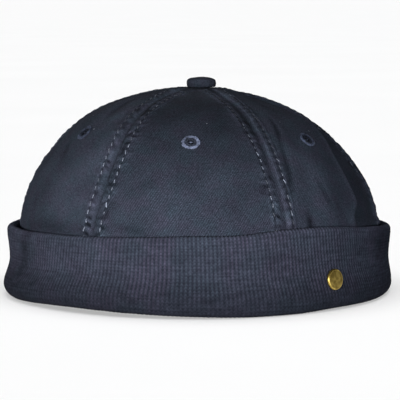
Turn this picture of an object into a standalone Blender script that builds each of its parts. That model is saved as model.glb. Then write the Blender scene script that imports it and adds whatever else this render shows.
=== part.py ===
"""A docker cap: a low crown of six twill panels with a covered button, and a ribbed cuff folded up round it.

The cap stands on the fold of its cuff, with its front towards -Y. The origin is on the surface that it rests
on, below the middle of the crown. Lengths are in metres. A bearing is an angle round the cap, in degrees from
the front towards +X. A fall is an angle down the crown, from 0 at its top to a quarter turn at its widest.
"""

import math

import bpy
import numpy as np
from mathutils import Matrix, Vector

MM = 0.001
GAP = 0.3 * MM
QUARTER_TURN = math.pi / 2

# Crown: its widest line is an oval, and its meridian a softened half ellipse.
CROWN_HALF_WIDTH = 87.9 * MM
CROWN_HALF_DEPTH = 1.10 * CROWN_HALF_WIDTH
CROWN_BASE = 30.0 * MM
CROWN_RISE = 68.9 * MM
CROWN_FULLNESS = 2.05
CROWN_FLATNESS = 1.82
CROWN_LEAN = 1.2 * MM
LEAN_POWER = 1.3
SHOULDER_FALL = math.radians(37)
SHOULDER_SPREAD = math.radians(14)
SHOULDER_SWELL = 1.0 * MM
CROWN_WALL = 1.2 * MM
CROWN_HEM = 24.3 * MM
PANEL_COLUMNS = 12
PANEL_ROWS = 12

# Seams: each is named by the panels that it joins, with its bearing at the hem and at the top, and how far it
# swings towards +X between the two.
SEAMS = {
    "right_front": (27.6, 27.6, 0.0),
    "right_side": (84.0, 88.0, 0.0),
    "right_back": (151.0, 147.0, 0.0),
    "left_back": (-151.0, -147.0, 0.0),
    "left_side": (-84.0, -88.0, 0.0),
    "left_front": (-28.0, -29.9, 1.8),
}
# The power of the reach that puts the widest place of the swing low on the crown.
SWING_POWER = 4
VALLEY_DEPTH = 0.7 * MM
VALLEY_WIDTH = 2.6 * MM
# The valleys start at the first reach and are at full depth from the second, as shares of the half width.
VALLEY_STARTS, VALLEY_FULL = 0.08, 0.28

# Panels: the seams at their two edges, then the bearing and the fall of the eyelet.
PANELS = {
    "front": ("left_front", "right_front", 0.2, 45.7),
    "front_right": ("right_front", "right_side", 54.8, 45.9),
    "back_right": ("right_side", "right_back", 117.0, 46.0),
    "back": ("right_back", "left_back", 180.0, 46.0),
    "back_left": ("left_back", "left_side", -117.0, 46.0),
    "front_left": ("left_side", "left_front", -54.0, 44.1),
}

# Soft folds of the crown: each runs from one point to another, and stands up or sinks in by its height.
FOLD_COLUMNS = ("bearing_from", "fall_from", "bearing_to", "fall_to", "width", "height")
FOLDS = (
    (50.0, 34.0, 37.0, 82.0, 7.0 * MM, -1.1 * MM),
    (46.0, 52.0, 47.0, 86.0, 7.0 * MM, 0.9 * MM),
    (72.0, 40.0, 64.0, 80.0, 8.0 * MM, -0.8 * MM),
    (92.0, 60.0, 92.0, 84.0, 13.0 * MM, 0.9 * MM),
    (80.0, 87.0, 104.0, 87.0, 4.5 * MM, 1.6 * MM),
    (-92.0, 62.0, -92.0, 80.0, 12.0 * MM, -0.7 * MM),
    (-56.0, 38.0, -46.0, 15.0, 6.0 * MM, 0.9 * MM),
    (-72.0, 44.0, -40.0, 60.0, 9.0 * MM, -0.9 * MM),
    (-100.0, 42.0, -108.0, 78.0, 9.0 * MM, -0.9 * MM),
    (128.0, 40.0, 136.0, 80.0, 9.0 * MM, -0.9 * MM),
    (172.0, 50.0, 160.0, 82.0, 9.0 * MM, -0.7 * MM),
)
# A fold keeps this share of its height at its two ends.
FOLD_END_SHARE = 0.35

# Eyelets: an embroidered ring that fills a round hole in each panel.
EYELET_RADIUS = 4.1 * MM
EYELET_HOLE = 1.5 * MM
EYELET_PROUD = 0.5 * MM
EYELET_ROUNDING = 0.6 * MM
EYELET_LIP = 0.1 * MM
EYELET_BEHIND = 0.2 * MM
EYELET_CUT = 4.0 * MM
EYELET_SIDES = 16

# Button: a flat dome on a shank, which passes between the panels' tips.
BUTTON_RADIUS = 7.1 * MM
BUTTON_HEIGHT = 4.9 * MM
BUTTON_SHIFT = 1.1 * MM
BUTTON_EDGE = 3.0 * MM
BUTTON_UNDERCUT = 0.7 * MM
BUTTON_FULLNESS = 0.8
SHANK_RADIUS = 2.6 * MM
BUTTON_SIDES = 24
BUTTON_DOME_STEPS = 5

# Cuff: a knitted band folded at the bottom, whose outer wall is turned up round the crown.
CUFF_SEGMENTS = 64
FOLD_STEPS = 3
WALL_STEPS = 8
RIM_STEPS = 4
INNER_WALL = 2.8 * MM
INNER_WALL_OFFSET = -1.2 * MM
OUTER_WALL = 4.2 * MM
FOLD_OFFSET = 5.05 * MM
WAIST_OFFSET = 3.3 * MM
RIM_OFFSET = 4.55 * MM
WAIST_AT = 0.5
FOOT_FLATTENING = 0.45 * MM

# Form of the cuff round the cap: how high its rim stands and how far that leans out past its usual place,
# then how far its fold is lifted off the surface and how far it bulges out.
CUFF_COLUMNS = ("bearing", "rim_height", "rim_lean", "fold_lift", "fold_bulge")
CUFF_FORM = (
    (-150.0, 33.4 * MM, 0.3 * MM, 0.0 * MM, 0.0 * MM),
    (-117.0, 31.0 * MM, 0.2 * MM, 0.0 * MM, -0.4 * MM),
    (-90.0, 31.7 * MM, 0.1 * MM, 0.0 * MM, -1.2 * MM),
    (-60.0, 33.2 * MM, -1.2 * MM, 0.0 * MM, 3.5 * MM),
    (-32.0, 34.7 * MM, -1.3 * MM, 1.9 * MM, 2.4 * MM),
    (0.0, 36.5 * MM, -1.3 * MM, 0.8 * MM, 1.8 * MM),
    (16.0, 36.9 * MM, -1.3 * MM, 0.0 * MM, 1.6 * MM),
    (28.0, 38.5 * MM, -1.3 * MM, 0.0 * MM, 1.3 * MM),
    (40.0, 38.6 * MM, -1.2 * MM, 0.6 * MM, 1.0 * MM),
    (62.0, 35.6 * MM, -1.3 * MM, 0.2 * MM, 1.1 * MM),
    (90.0, 32.0 * MM, -0.3 * MM, 0.1 * MM, -0.1 * MM),
    (117.0, 30.8 * MM, 0.1 * MM, 0.0 * MM, 0.1 * MM),
    (150.0, 33.6 * MM, 0.3 * MM, 0.0 * MM, 0.0 * MM),
    (180.0, 34.2 * MM, 0.3 * MM, 0.0 * MM, 0.0 * MM),
)

# Stud: a domed brass disc, a post through the cuff's outer wall, and a back plate behind that wall.
STUD_BEARING = 41.4
STUD_HEIGHT = 14.3 * MM
STUD_RADIUS = 4.9 * MM
STUD_THICKNESS = 1.1 * MM
STUD_DOME = 0.4 * MM
STUD_SEAT = 0.5 * MM
STUD_POST = 1.1 * MM
STUD_PLATE_RADIUS = 3.4 * MM
STUD_PLATE = 0.7 * MM
STUD_CUT = 2.0 * MM
STUD_SIDES = 24
# Its disc from the dome down to the seat, as shares of its radius, its thickness and its dome.
STUD_DISC = (
    (0.25, 1.0, 1.0),
    (0.6, 1.0, 0.7),
    (0.88, 1.0, 0.0),
    (1.0, 0.6, 0.0),
    (1.0, 0.2, 0.0),
    (0.94, 0.0, 0.0),
)

# Finishes: linear red, green and blue, then roughness and metallic.
TWILL = ("twill", (0.035, 0.043, 0.061), 0.9, 0.0)
KNIT = ("ribbed_knit", (0.038, 0.046, 0.064), 0.95, 0.0)
THREAD = ("embroidery_thread", (0.12, 0.13, 0.17), 0.7, 0.0)
BRASS = ("satin_brass", (0.35, 0.25, 0.09), 0.35, 1.0)


def clear_scene():
    for old in list(bpy.data.objects):
        bpy.data.objects.remove(old, do_unlink=True)


def finish(values):
    """The material of this name, made the first time that it is asked for."""
    name, colour, roughness, metallic = values
    material = bpy.data.materials.get(name)
    if material is None:
        material = bpy.data.materials.new(name)
        material.use_nodes = True
        shader = material.node_tree.nodes["Principled BSDF"]
        shader.inputs["Base Color"].default_value = (*colour, 1.0)
        shader.inputs["Roughness"].default_value = roughness
        shader.inputs["Metallic"].default_value = metallic
    return material


def add_object(name, points, faces, values, smooth_below=40.0):
    mesh = bpy.data.meshes.new(name)
    mesh.from_pydata([tuple(point) for point in np.reshape(points, (-1, 3))], [], faces)
    mesh.materials.append(finish(values))
    mesh.shade_smooth()
    mesh.set_sharp_from_angle(angle=math.radians(smooth_below))
    mesh.update()
    made = bpy.data.objects.new(name, mesh)
    bpy.context.collection.objects.link(made)
    return made


def cut(target, cutter):
    """Takes the cutter's shape out of the target."""
    cutter.hide_render = True
    cutter.display_type = "WIRE"
    boolean = target.modifiers.new("cut_" + cutter.name, "BOOLEAN")
    boolean.operation = "DIFFERENCE"
    boolean.solver = "EXACT"
    boolean.object = cutter


def base_oval(bearing):
    """Points of the crown's widest line at these bearings in radians, and the outward direction at each."""
    across = np.sin(bearing)
    along = -np.cos(bearing)
    reach = 1 / np.hypot(across / CROWN_HALF_WIDTH, along / CROWN_HALF_DEPTH)
    points = np.stack([across * reach, along * reach], -1)
    outward = points / (CROWN_HALF_WIDTH**2, CROWN_HALF_DEPTH**2)
    return points, outward / np.linalg.norm(outward, axis=-1, keepdims=True)


def reach_at(fall):
    """How far out the meridian is at this fall: 0 at the top, 1 at the widest line and below it."""
    return np.sin(np.minimum(fall, QUARTER_TURN)) ** (2 / CROWN_FULLNESS)


def rise_at(fall):
    """The height above the widest line. Past a quarter turn the wall runs straight down."""
    dome = CROWN_RISE * np.cos(np.minimum(fall, QUARTER_TURN)) ** (2 / CROWN_FLATNESS)
    return dome - CROWN_HALF_WIDTH * np.maximum(fall - QUARTER_TURN, 0)


def seam_bearing(seam, fall):
    """The bearing of a seam in radians, which moves evenly from its top value to its hem value, and swings."""
    hem, top, swing = np.radians(SEAMS[seam])
    reach = reach_at(fall)
    return top + (hem - top) * reach + swing * np.sin(math.pi * reach**SWING_POWER)


def apart(bearing, other):
    """The signed turn between two bearings, under half a turn."""
    return (bearing - other + math.pi) % (2 * math.pi) - math.pi


def seam_relief(bearing, fall):
    """The sunk valley along every seam: a bell curve of the distance to it, which fades out at the top."""
    reach = reach_at(fall)
    relief = np.zeros(np.broadcast(bearing, fall).shape)
    for seam in SEAMS:
        distance = apart(bearing, seam_bearing(seam, fall)) * reach * CROWN_HALF_WIDTH
        relief = np.minimum(relief, -VALLEY_DEPTH * np.exp(-((distance / VALLEY_WIDTH) ** 2)))
    return relief * np.clip((reach - VALLEY_STARTS) / (VALLEY_FULL - VALLEY_STARTS), 0, 1)


def fold_relief(bearing, fall):
    """The soft folds: each a bell curve across its line, which fades out past the line's two ends."""
    relief = np.zeros(np.broadcast(bearing, fall).shape)
    for row in FOLDS:
        fold = dict(zip(FOLD_COLUMNS, row))
        start_bearing, end_bearing = math.radians(fold["bearing_from"]), math.radians(fold["bearing_to"])
        start_fall, end_fall = math.radians(fold["fall_from"]), math.radians(fold["fall_to"])
        scale = CROWN_HALF_WIDTH * math.sin((start_fall + end_fall) / 2)
        across = apart(bearing, start_bearing) * scale
        down = (fall - start_fall) * CROWN_HALF_WIDTH
        line = np.array([(end_bearing - start_bearing) * scale, (end_fall - start_fall) * CROWN_HALF_WIDTH])
        length = np.linalg.norm(line)
        line /= length
        along = np.clip(across * line[0] + down * line[1], 0, length)
        distance = np.hypot(across - along * line[0], down - along * line[1])
        fade = FOLD_END_SHARE + (1 - FOLD_END_SHARE) * np.sin(math.pi * along / length)
        relief = relief + fold["height"] * fade * np.exp(-((distance / fold["width"]) ** 2))
    return relief


def crown_face(bearing, fall):
    """Points of the crown's outer face. It swells at the shoulder, and sags a little towards the left."""
    reach = reach_at(fall)
    oval, _ = base_oval(bearing)
    lean = -CROWN_LEAN * np.sin(bearing) * np.sin(math.pi * reach**LEAN_POWER)
    swell = SHOULDER_SWELL * np.exp(-(((fall - SHOULDER_FALL) / SHOULDER_SPREAD) ** 2))
    relief = lean + swell + seam_relief(bearing, fall) + fold_relief(bearing, fall)
    upright = np.sqrt(1 - np.minimum(reach, 1) ** 2)
    length = np.linalg.norm(oval, axis=-1)
    flat = oval * ((reach * length + relief * reach) / length)[..., None]
    height = CROWN_BASE + rise_at(fall) + relief * upright
    return np.concatenate([flat, height[..., None]], -1)


def crown_seat(bearing, fall):
    """A point of the crown's outer face and the outward direction there, read over a turn of 0.02."""
    step = 0.01
    turns = np.array([bearing - step, bearing + step, bearing, bearing, bearing])
    falls = np.array([fall, fall, fall - step, fall + step, fall])
    left, right, above, below, centre = crown_face(turns, falls)
    outward = np.cross(right - left, above - below)
    return Vector(centre), Vector(outward).normalized()


def outward_of(grid):
    """The outward direction at each point of a grid whose rows run down and whose columns run round to +X."""
    down, across = np.gradient(grid, axis=(0, 1))
    outward = np.cross(down, across)
    return outward / np.linalg.norm(outward, axis=-1, keepdims=True)


def walled_faces(rows, columns):
    """Faces of a sheet with an outer grid, an inner grid and four edges.

    Points are numbered row by row, outer grid first."""
    total = rows * columns
    faces = []
    for row in range(rows - 1):
        for column in range(columns - 1):
            a = row * columns + column
            quad = (a, a + columns, a + columns + 1, a + 1)
            faces.append(quad)
            faces.append(tuple(total + corner for corner in reversed(quad)))
    top = list(range(columns))
    right = [row * columns + columns - 1 for row in range(rows)]
    bottom = [(rows - 1) * columns + column for column in reversed(range(columns))]
    left = [row * columns for row in reversed(range(rows))]
    rim = top + right[1:] + bottom[1:] + left[1:]
    for a, b in zip(rim, rim[1:]):
        faces.append((a, b, total + b, total + a))
    return faces


def build_panel(name, edges):
    """One twill panel of the crown: a wall between two seams, with a hole for its eyelet."""
    left_seam, right_seam, eyelet_bearing, eyelet_fall = edges
    top_fall = math.asin(((SHANK_RADIUS + GAP) / CROWN_HALF_WIDTH) ** (CROWN_FULLNESS / 2))
    hem_fall = QUARTER_TURN + (CROWN_BASE - CROWN_HEM) / CROWN_HALF_WIDTH
    fall = np.append(np.linspace(top_fall, QUARTER_TURN, PANEL_ROWS + 1), hem_fall)[:, None]
    half_gap = GAP / 2 / (CROWN_HALF_WIDTH * reach_at(fall))
    start = seam_bearing(left_seam, fall) + half_gap
    width = (seam_bearing(right_seam, fall) - half_gap - start) % (2 * math.pi)
    # Columns crowd towards the seams, where the valleys are.
    share = (1 - np.cos(np.linspace(0, math.pi, PANEL_COLUMNS + 1))) / 2
    bearing = start + width * share
    outer = crown_face(bearing, np.broadcast_to(fall, bearing.shape))
    inner = outer - outward_of(outer) * CROWN_WALL
    points = np.concatenate([outer.reshape(-1, 3), inner.reshape(-1, 3)])
    panel = add_object("panel_" + name, points, walled_faces(*bearing.shape), TWILL)
    centre, axis = crown_seat(math.radians(eyelet_bearing), math.radians(eyelet_fall))
    hole = ((EYELET_RADIUS + GAP, EYELET_CUT), (EYELET_RADIUS + GAP, -EYELET_CUT))
    cut(panel, turned("cutter_" + name, hole, centre, axis, TWILL, EYELET_SIDES))
    back = -CROWN_WALL - EYELET_BEHIND
    ring = (
        (EYELET_HOLE + EYELET_ROUNDING, EYELET_PROUD),
        (EYELET_RADIUS - EYELET_ROUNDING, EYELET_PROUD),
        (EYELET_RADIUS, EYELET_LIP),
        (EYELET_RADIUS, back),
        (EYELET_HOLE, back),
        (EYELET_HOLE, EYELET_LIP),
    )
    turned("eyelet_" + name, ring, centre, axis, THREAD, EYELET_SIDES, ring=True)


def turned(name, profile, centre, axis, values, sides, ring=False):
    """A turned solid. Its profile runs from the top down the outer side, as radius and height along the axis.

    A ring's profile closes on itself; otherwise the two ends are closed by flat caps."""
    turn = Vector(axis).to_track_quat("Z", "X").to_matrix().to_4x4()
    place = Matrix.Translation(centre) @ turn
    angles = [2 * math.pi * side / sides for side in range(sides)]
    points = [
        place @ Vector((radius * math.cos(angle), radius * math.sin(angle), height))
        for radius, height in profile
        for angle in angles
    ]
    rows = list(range(len(profile)))
    pairs = list(zip(rows, rows[1:]))
    if ring:
        pairs.append((rows[-1], rows[0]))
    faces = []
    for upper, lower in pairs:
        for side in range(sides):
            after = (side + 1) % sides
            corners = ((upper, side), (lower, side), (lower, after), (upper, after))
            faces.append(tuple(row * sides + corner for row, corner in corners))
    if not ring:
        faces.append(tuple(range(sides)))
        faces.append(tuple(reversed(range(rows[-1] * sides, (rows[-1] + 1) * sides))))
    return add_object(name, points, faces, values)


def build_button():
    """The covered button: a flat dome with an upright edge, and a shank down between the panels' tips.

    Its head sits a little to one side of the shank."""
    top = CROWN_BASE + CROWN_RISE
    seat = top + GAP
    dome_rise = BUTTON_HEIGHT - BUTTON_EDGE
    arc = np.linspace(0, QUARTER_TURN, BUTTON_DOME_STEPS + 1)[1:]
    dome_radii = BUTTON_RADIUS * np.sin(arc) ** BUTTON_FULLNESS
    dome_heights = seat + BUTTON_EDGE + dome_rise * np.cos(arc)
    profile = [
        *zip(dome_radii, dome_heights),
        (BUTTON_RADIUS, seat + BUTTON_UNDERCUT),
        (BUTTON_RADIUS - BUTTON_UNDERCUT, seat),
        (SHANK_RADIUS, seat),
        (SHANK_RADIUS, top - CROWN_WALL - GAP),
    ]
    button = turned("button_top", profile, Vector((0, 0, 0)), Vector((0, 0, 1)), TWILL, BUTTON_SIDES)
    slack = GAP / 10
    for point in button.data.vertices:
        if point.co.z > seat + slack or math.hypot(*point.co.xy) > SHANK_RADIUS + slack:
            point.co.x += BUTTON_SHIFT


def cuff_form(bearing):
    """The table's values at a bearing in degrees, on a smooth curve through its rows, by column name."""
    table = np.array(CUFF_FORM)
    turns = np.concatenate([table[:, 0] - 360, table[:, 0], table[:, 0] + 360])
    values = np.tile(table[:, 1:], (3, 1))
    slopes = np.gradient(values, turns, axis=0)
    low = np.clip(np.searchsorted(turns, bearing) - 1, 0, len(turns) - 2)
    width = turns[low + 1] - turns[low]
    t = (bearing - turns[low]) / width
    start = (2 * t**3 - 3 * t**2 + 1) * values[low] + (t**3 - 2 * t**2 + t) * width * slopes[low]
    end = (3 * t**2 - 2 * t**3) * values[low + 1] + (t**3 - t**2) * width * slopes[low + 1]
    return dict(zip(CUFF_COLUMNS[1:], start + end))


def arc_points(centre, radius, first, last, steps):
    angles = np.radians(np.linspace(first, last, steps + 1))
    return np.stack([centre[0] + radius * np.cos(angles), centre[1] + radius * np.sin(angles)], -1)


def fold_circle(form):
    """Middle and radius of the circle that the fold follows, from the inner wall's face to the bulge.

    The circle reaches a little below the surface, where the fold is flattened."""
    spread = FOLD_OFFSET + form["fold_bulge"] - INNER_WALL_OFFSET
    radius = (spread + (INNER_WALL + OUTER_WALL) / 2) / 2
    offset = INNER_WALL_OFFSET - INNER_WALL / 2 + radius
    return (offset, radius - FOOT_FLATTENING + max(form["fold_lift"], 0)), radius


def outer_wall_line(height, form):
    """The offset of the outer wall's middle at a height: in at the waist, out again at the rim."""
    low = fold_circle(form)[0][1]
    share = (height - low) / (form["rim_height"] - OUTER_WALL / 2 - low)
    fold_offset = FOLD_OFFSET + form["fold_bulge"]
    rim_offset = RIM_OFFSET + form["rim_lean"]
    below = WAIST_OFFSET + (fold_offset - WAIST_OFFSET) * (1 + np.cos(math.pi * share / WAIST_AT)) / 2
    rising = np.clip((share - WAIST_AT) / (1 - WAIST_AT), 0, 1)
    above = WAIST_OFFSET + (rim_offset - WAIST_OFFSET) * (1 - np.cos(math.pi * rising)) / 2
    return np.where(share < WAIST_AT, below, above)


def cuff_section(bearing):
    """The cuff's section at a bearing in degrees, as offset from the base oval and height.

    It runs down the inside, round the fold, whose underside is flattened at the surface that it rests on, up
    the outer wall, over the rounded rim, down behind the outer wall, and up the back of the inner wall."""
    form = cuff_form(bearing)
    centre, radius = fold_circle(form)
    top = CROWN_HEM - GAP
    inner_face = INNER_WALL_OFFSET - INNER_WALL / 2
    inner_back = INNER_WALL_OFFSET + INNER_WALL / 2
    half = OUTER_WALL / 2
    foot_edge = math.degrees(math.acos(1 - FOOT_FLATTENING / radius))
    before_foot = arc_points(centre, radius, 180, 270 - foot_edge, FOLD_STEPS)
    after_foot = arc_points(centre, radius, 270 + foot_edge, 360, FOLD_STEPS)
    heights = np.linspace(centre[1], form["rim_height"] - half, WALL_STEPS)
    line = outer_wall_line(heights, form)
    outer = np.stack([line + half, heights], -1)
    rim = arc_points((line[-1], heights[-1]), half, 0, 180, RIM_STEPS)
    behind = np.stack([line - half, heights], -1)[::-1][2:-1:2]
    slot = line[0] - half - inner_back
    inside = arc_points((inner_back + slot / 2, centre[1]), slot / 2, 360, 180, RIM_STEPS)
    down = [[(inner_face, top)], before_foot, after_foot]
    return np.concatenate([*down, outer[1:-1], rim, behind, inside, [(inner_back, top)]])


def cuff_place(bearing, offset, height):
    """A point of the cuff at a bearing in degrees, this far out from the base oval."""
    oval, outward = base_oval(np.radians(bearing))
    return Vector((*(oval + outward * offset), height))


def build_cuff():
    """The knitted cuff: one section carried round the base oval."""
    bearings = -180 + 360 * np.arange(CUFF_SEGMENTS) / CUFF_SEGMENTS
    sections = np.array([cuff_section(bearing) for bearing in bearings])
    oval, outward = base_oval(np.radians(bearings))
    flat = oval[:, None] + outward[:, None] * sections[..., :1]
    points = np.concatenate([flat, sections[..., 1:]], -1)
    count = sections.shape[1]
    faces = []
    for segment in range(CUFF_SEGMENTS):
        here, there = segment * count, (segment + 1) % CUFF_SEGMENTS * count
        for corner in range(count):
            after = (corner + 1) % count
            faces.append((here + corner, there + corner, there + after, here + after))
    return add_object("cuff", points, faces, KNIT)


def build_stud(cuff):
    """The stud: a domed disc on the cuff's outer wall, its post through the wall, and its back plate."""
    form = cuff_form(STUD_BEARING)
    heights = STUD_HEIGHT + STUD_RADIUS * np.array([-1, 0, 1])
    offsets = outer_wall_line(heights, form) + OUTER_WALL / 2
    low, middle, high = (cuff_place(STUD_BEARING, offset, height) for offset, height in zip(offsets, heights))
    after = cuff_place(STUD_BEARING + 1, offsets[1], STUD_HEIGHT)
    before = cuff_place(STUD_BEARING - 1, offsets[1], STUD_HEIGHT)
    axis = (after - before).cross(high - low).normalized()
    behind = OUTER_WALL + GAP
    shares = np.array(STUD_DISC)
    radii = STUD_RADIUS * shares[:, 0]
    levels = STUD_SEAT + STUD_THICKNESS * shares[:, 1] + STUD_DOME * shares[:, 2]
    profile = (
        *zip(radii, levels),
        (STUD_POST, STUD_SEAT),
        (STUD_POST, -behind),
        (STUD_PLATE_RADIUS, -behind),
        (STUD_PLATE_RADIUS, -behind - STUD_PLATE),
    )
    turned("stud", profile, middle, axis, BRASS, STUD_SIDES)
    hole = ((STUD_POST + GAP, STUD_CUT), (STUD_POST + GAP, -behind - GAP))
    cut(cuff, turned("cutter_stud", hole, middle, axis, KNIT, STUD_SIDES // 2))


def main():
    clear_scene()
    for name, edges in PANELS.items():
        build_panel(name, edges)
    build_button()
    build_stud(build_cuff())


main()
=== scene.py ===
"""The looks of a docker cap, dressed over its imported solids.

The cap has a crown of six twill panels with twin rows of topstitching at every seam, six embroidered
eyelets, a covered button on top, and a ribbed cuff folded up round it with a brass stud. Lengths are in
metres. A bearing is an angle round the cap in radians, from the front (-Y) towards +X, and a fall is an angle
down the crown from its top, as in the solids, whose forms the classes here repeat before they add the cloth's
own relief.
"""

import logging
import math
from dataclasses import dataclass, field
from enum import Enum

import bpy
import numpy as np
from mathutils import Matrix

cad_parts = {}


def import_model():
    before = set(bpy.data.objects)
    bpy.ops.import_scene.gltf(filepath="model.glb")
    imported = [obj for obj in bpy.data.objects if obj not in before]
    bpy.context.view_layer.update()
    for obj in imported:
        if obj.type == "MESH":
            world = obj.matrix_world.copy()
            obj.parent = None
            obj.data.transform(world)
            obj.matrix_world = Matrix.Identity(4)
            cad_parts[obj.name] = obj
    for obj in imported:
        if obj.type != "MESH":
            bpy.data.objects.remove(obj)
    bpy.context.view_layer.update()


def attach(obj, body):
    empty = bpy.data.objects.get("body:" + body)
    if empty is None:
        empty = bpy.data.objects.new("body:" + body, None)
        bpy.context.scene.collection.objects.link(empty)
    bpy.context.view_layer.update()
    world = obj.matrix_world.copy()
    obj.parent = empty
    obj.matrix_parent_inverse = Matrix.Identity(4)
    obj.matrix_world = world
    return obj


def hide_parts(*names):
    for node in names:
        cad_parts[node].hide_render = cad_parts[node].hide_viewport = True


log = logging.getLogger("docker_cap")

Array = np.ndarray
Socket = bpy.types.NodeSocket
Material = bpy.types.Material
Piece = bpy.types.Object
Span = tuple[float, float]
Four = tuple[float, float, float, float]
Pair = tuple[Array, Array]
# The darkest and the palest factor of a pattern, and the shares of the pattern where they are reached.
Tones = Four

MM = 0.001
TAU = 2 * math.pi
QUARTER_TURN = math.pi / 2
BODY = "root"
CLOTH_UV = "cloth_mm"
# The point attribute for paler and darker places: partly wear, and partly painted light and painted shade.
WEAR_AND_SHADING = "rubbed"
# Cloth scatters light in its loose fibres: it has no gloss, and a faint sheen where it turns away.
CLOTH_SHADER = {"Specular_IOR_Level": 0.0, "Sheen_Weight": 0.015, "Sheen_Roughness": 0.5}
# The shares of a soft noise between which a colour goes over to another.
CAST_EDGES = (0.35, 0.65)
SMOOTH = "SMOOTHSTEP"
# The cells of a soft noise down it, or across where it isn't closed, and across the strips beside a seam.
NOISE_CELLS = 64
STRIP_CELLS = 16


class Slot(Enum):
    """The record's material slots."""

    TWILL = "twill"
    KNIT = "knit"
    THREAD = "thread"
    BRASS = "brass"


# Colours and nodes.


def linear(code: str) -> Four:
    """Turns an sRGB hex colour into linear light.

    Args:
        code: six hex digits, with or without a leading #.

    Returns:
        Linear red, green and blue, and an alpha of one.
    """
    digits = code.lstrip("#")
    shares = [int(digits[start : start + 2], 16) / 255 for start in (0, 2, 4)]
    red, green, blue = (s / 12.92 if s <= 0.04045 else ((s + 0.055) / 1.055) ** 2.4 for s in shares)
    return red, green, blue, 1.0


def add_node(tree: bpy.types.NodeTree, kind: str, settings: dict, inputs: dict) -> bpy.types.Node:
    """Adds a node with its settings and links.

    Args:
        tree: the node tree that it goes into.
        kind: the node's type name.
        settings: values by attribute name.
        inputs: by input name or number, a socket to link or a value to set.

    Returns:
        The new node.
    """
    node = tree.nodes.new(kind)
    for key, value in settings.items():
        setattr(node, key, value)
    for key, value in inputs.items():
        if isinstance(value, Socket):
            tree.links.new(value, node.inputs[key])
        else:
            node.inputs[key].default_value = value
    return node


@dataclass(frozen=True)
class Mottle:
    """An unevenness of a colour: the size of its clouds in mm, how many finer layers they have, its darkest
    and palest factors, and the shares of the noise where these are reached."""

    size_mm: float
    detail: float
    dark: float
    pale: float
    low: float = 0.3
    high: float = 0.7


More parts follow.
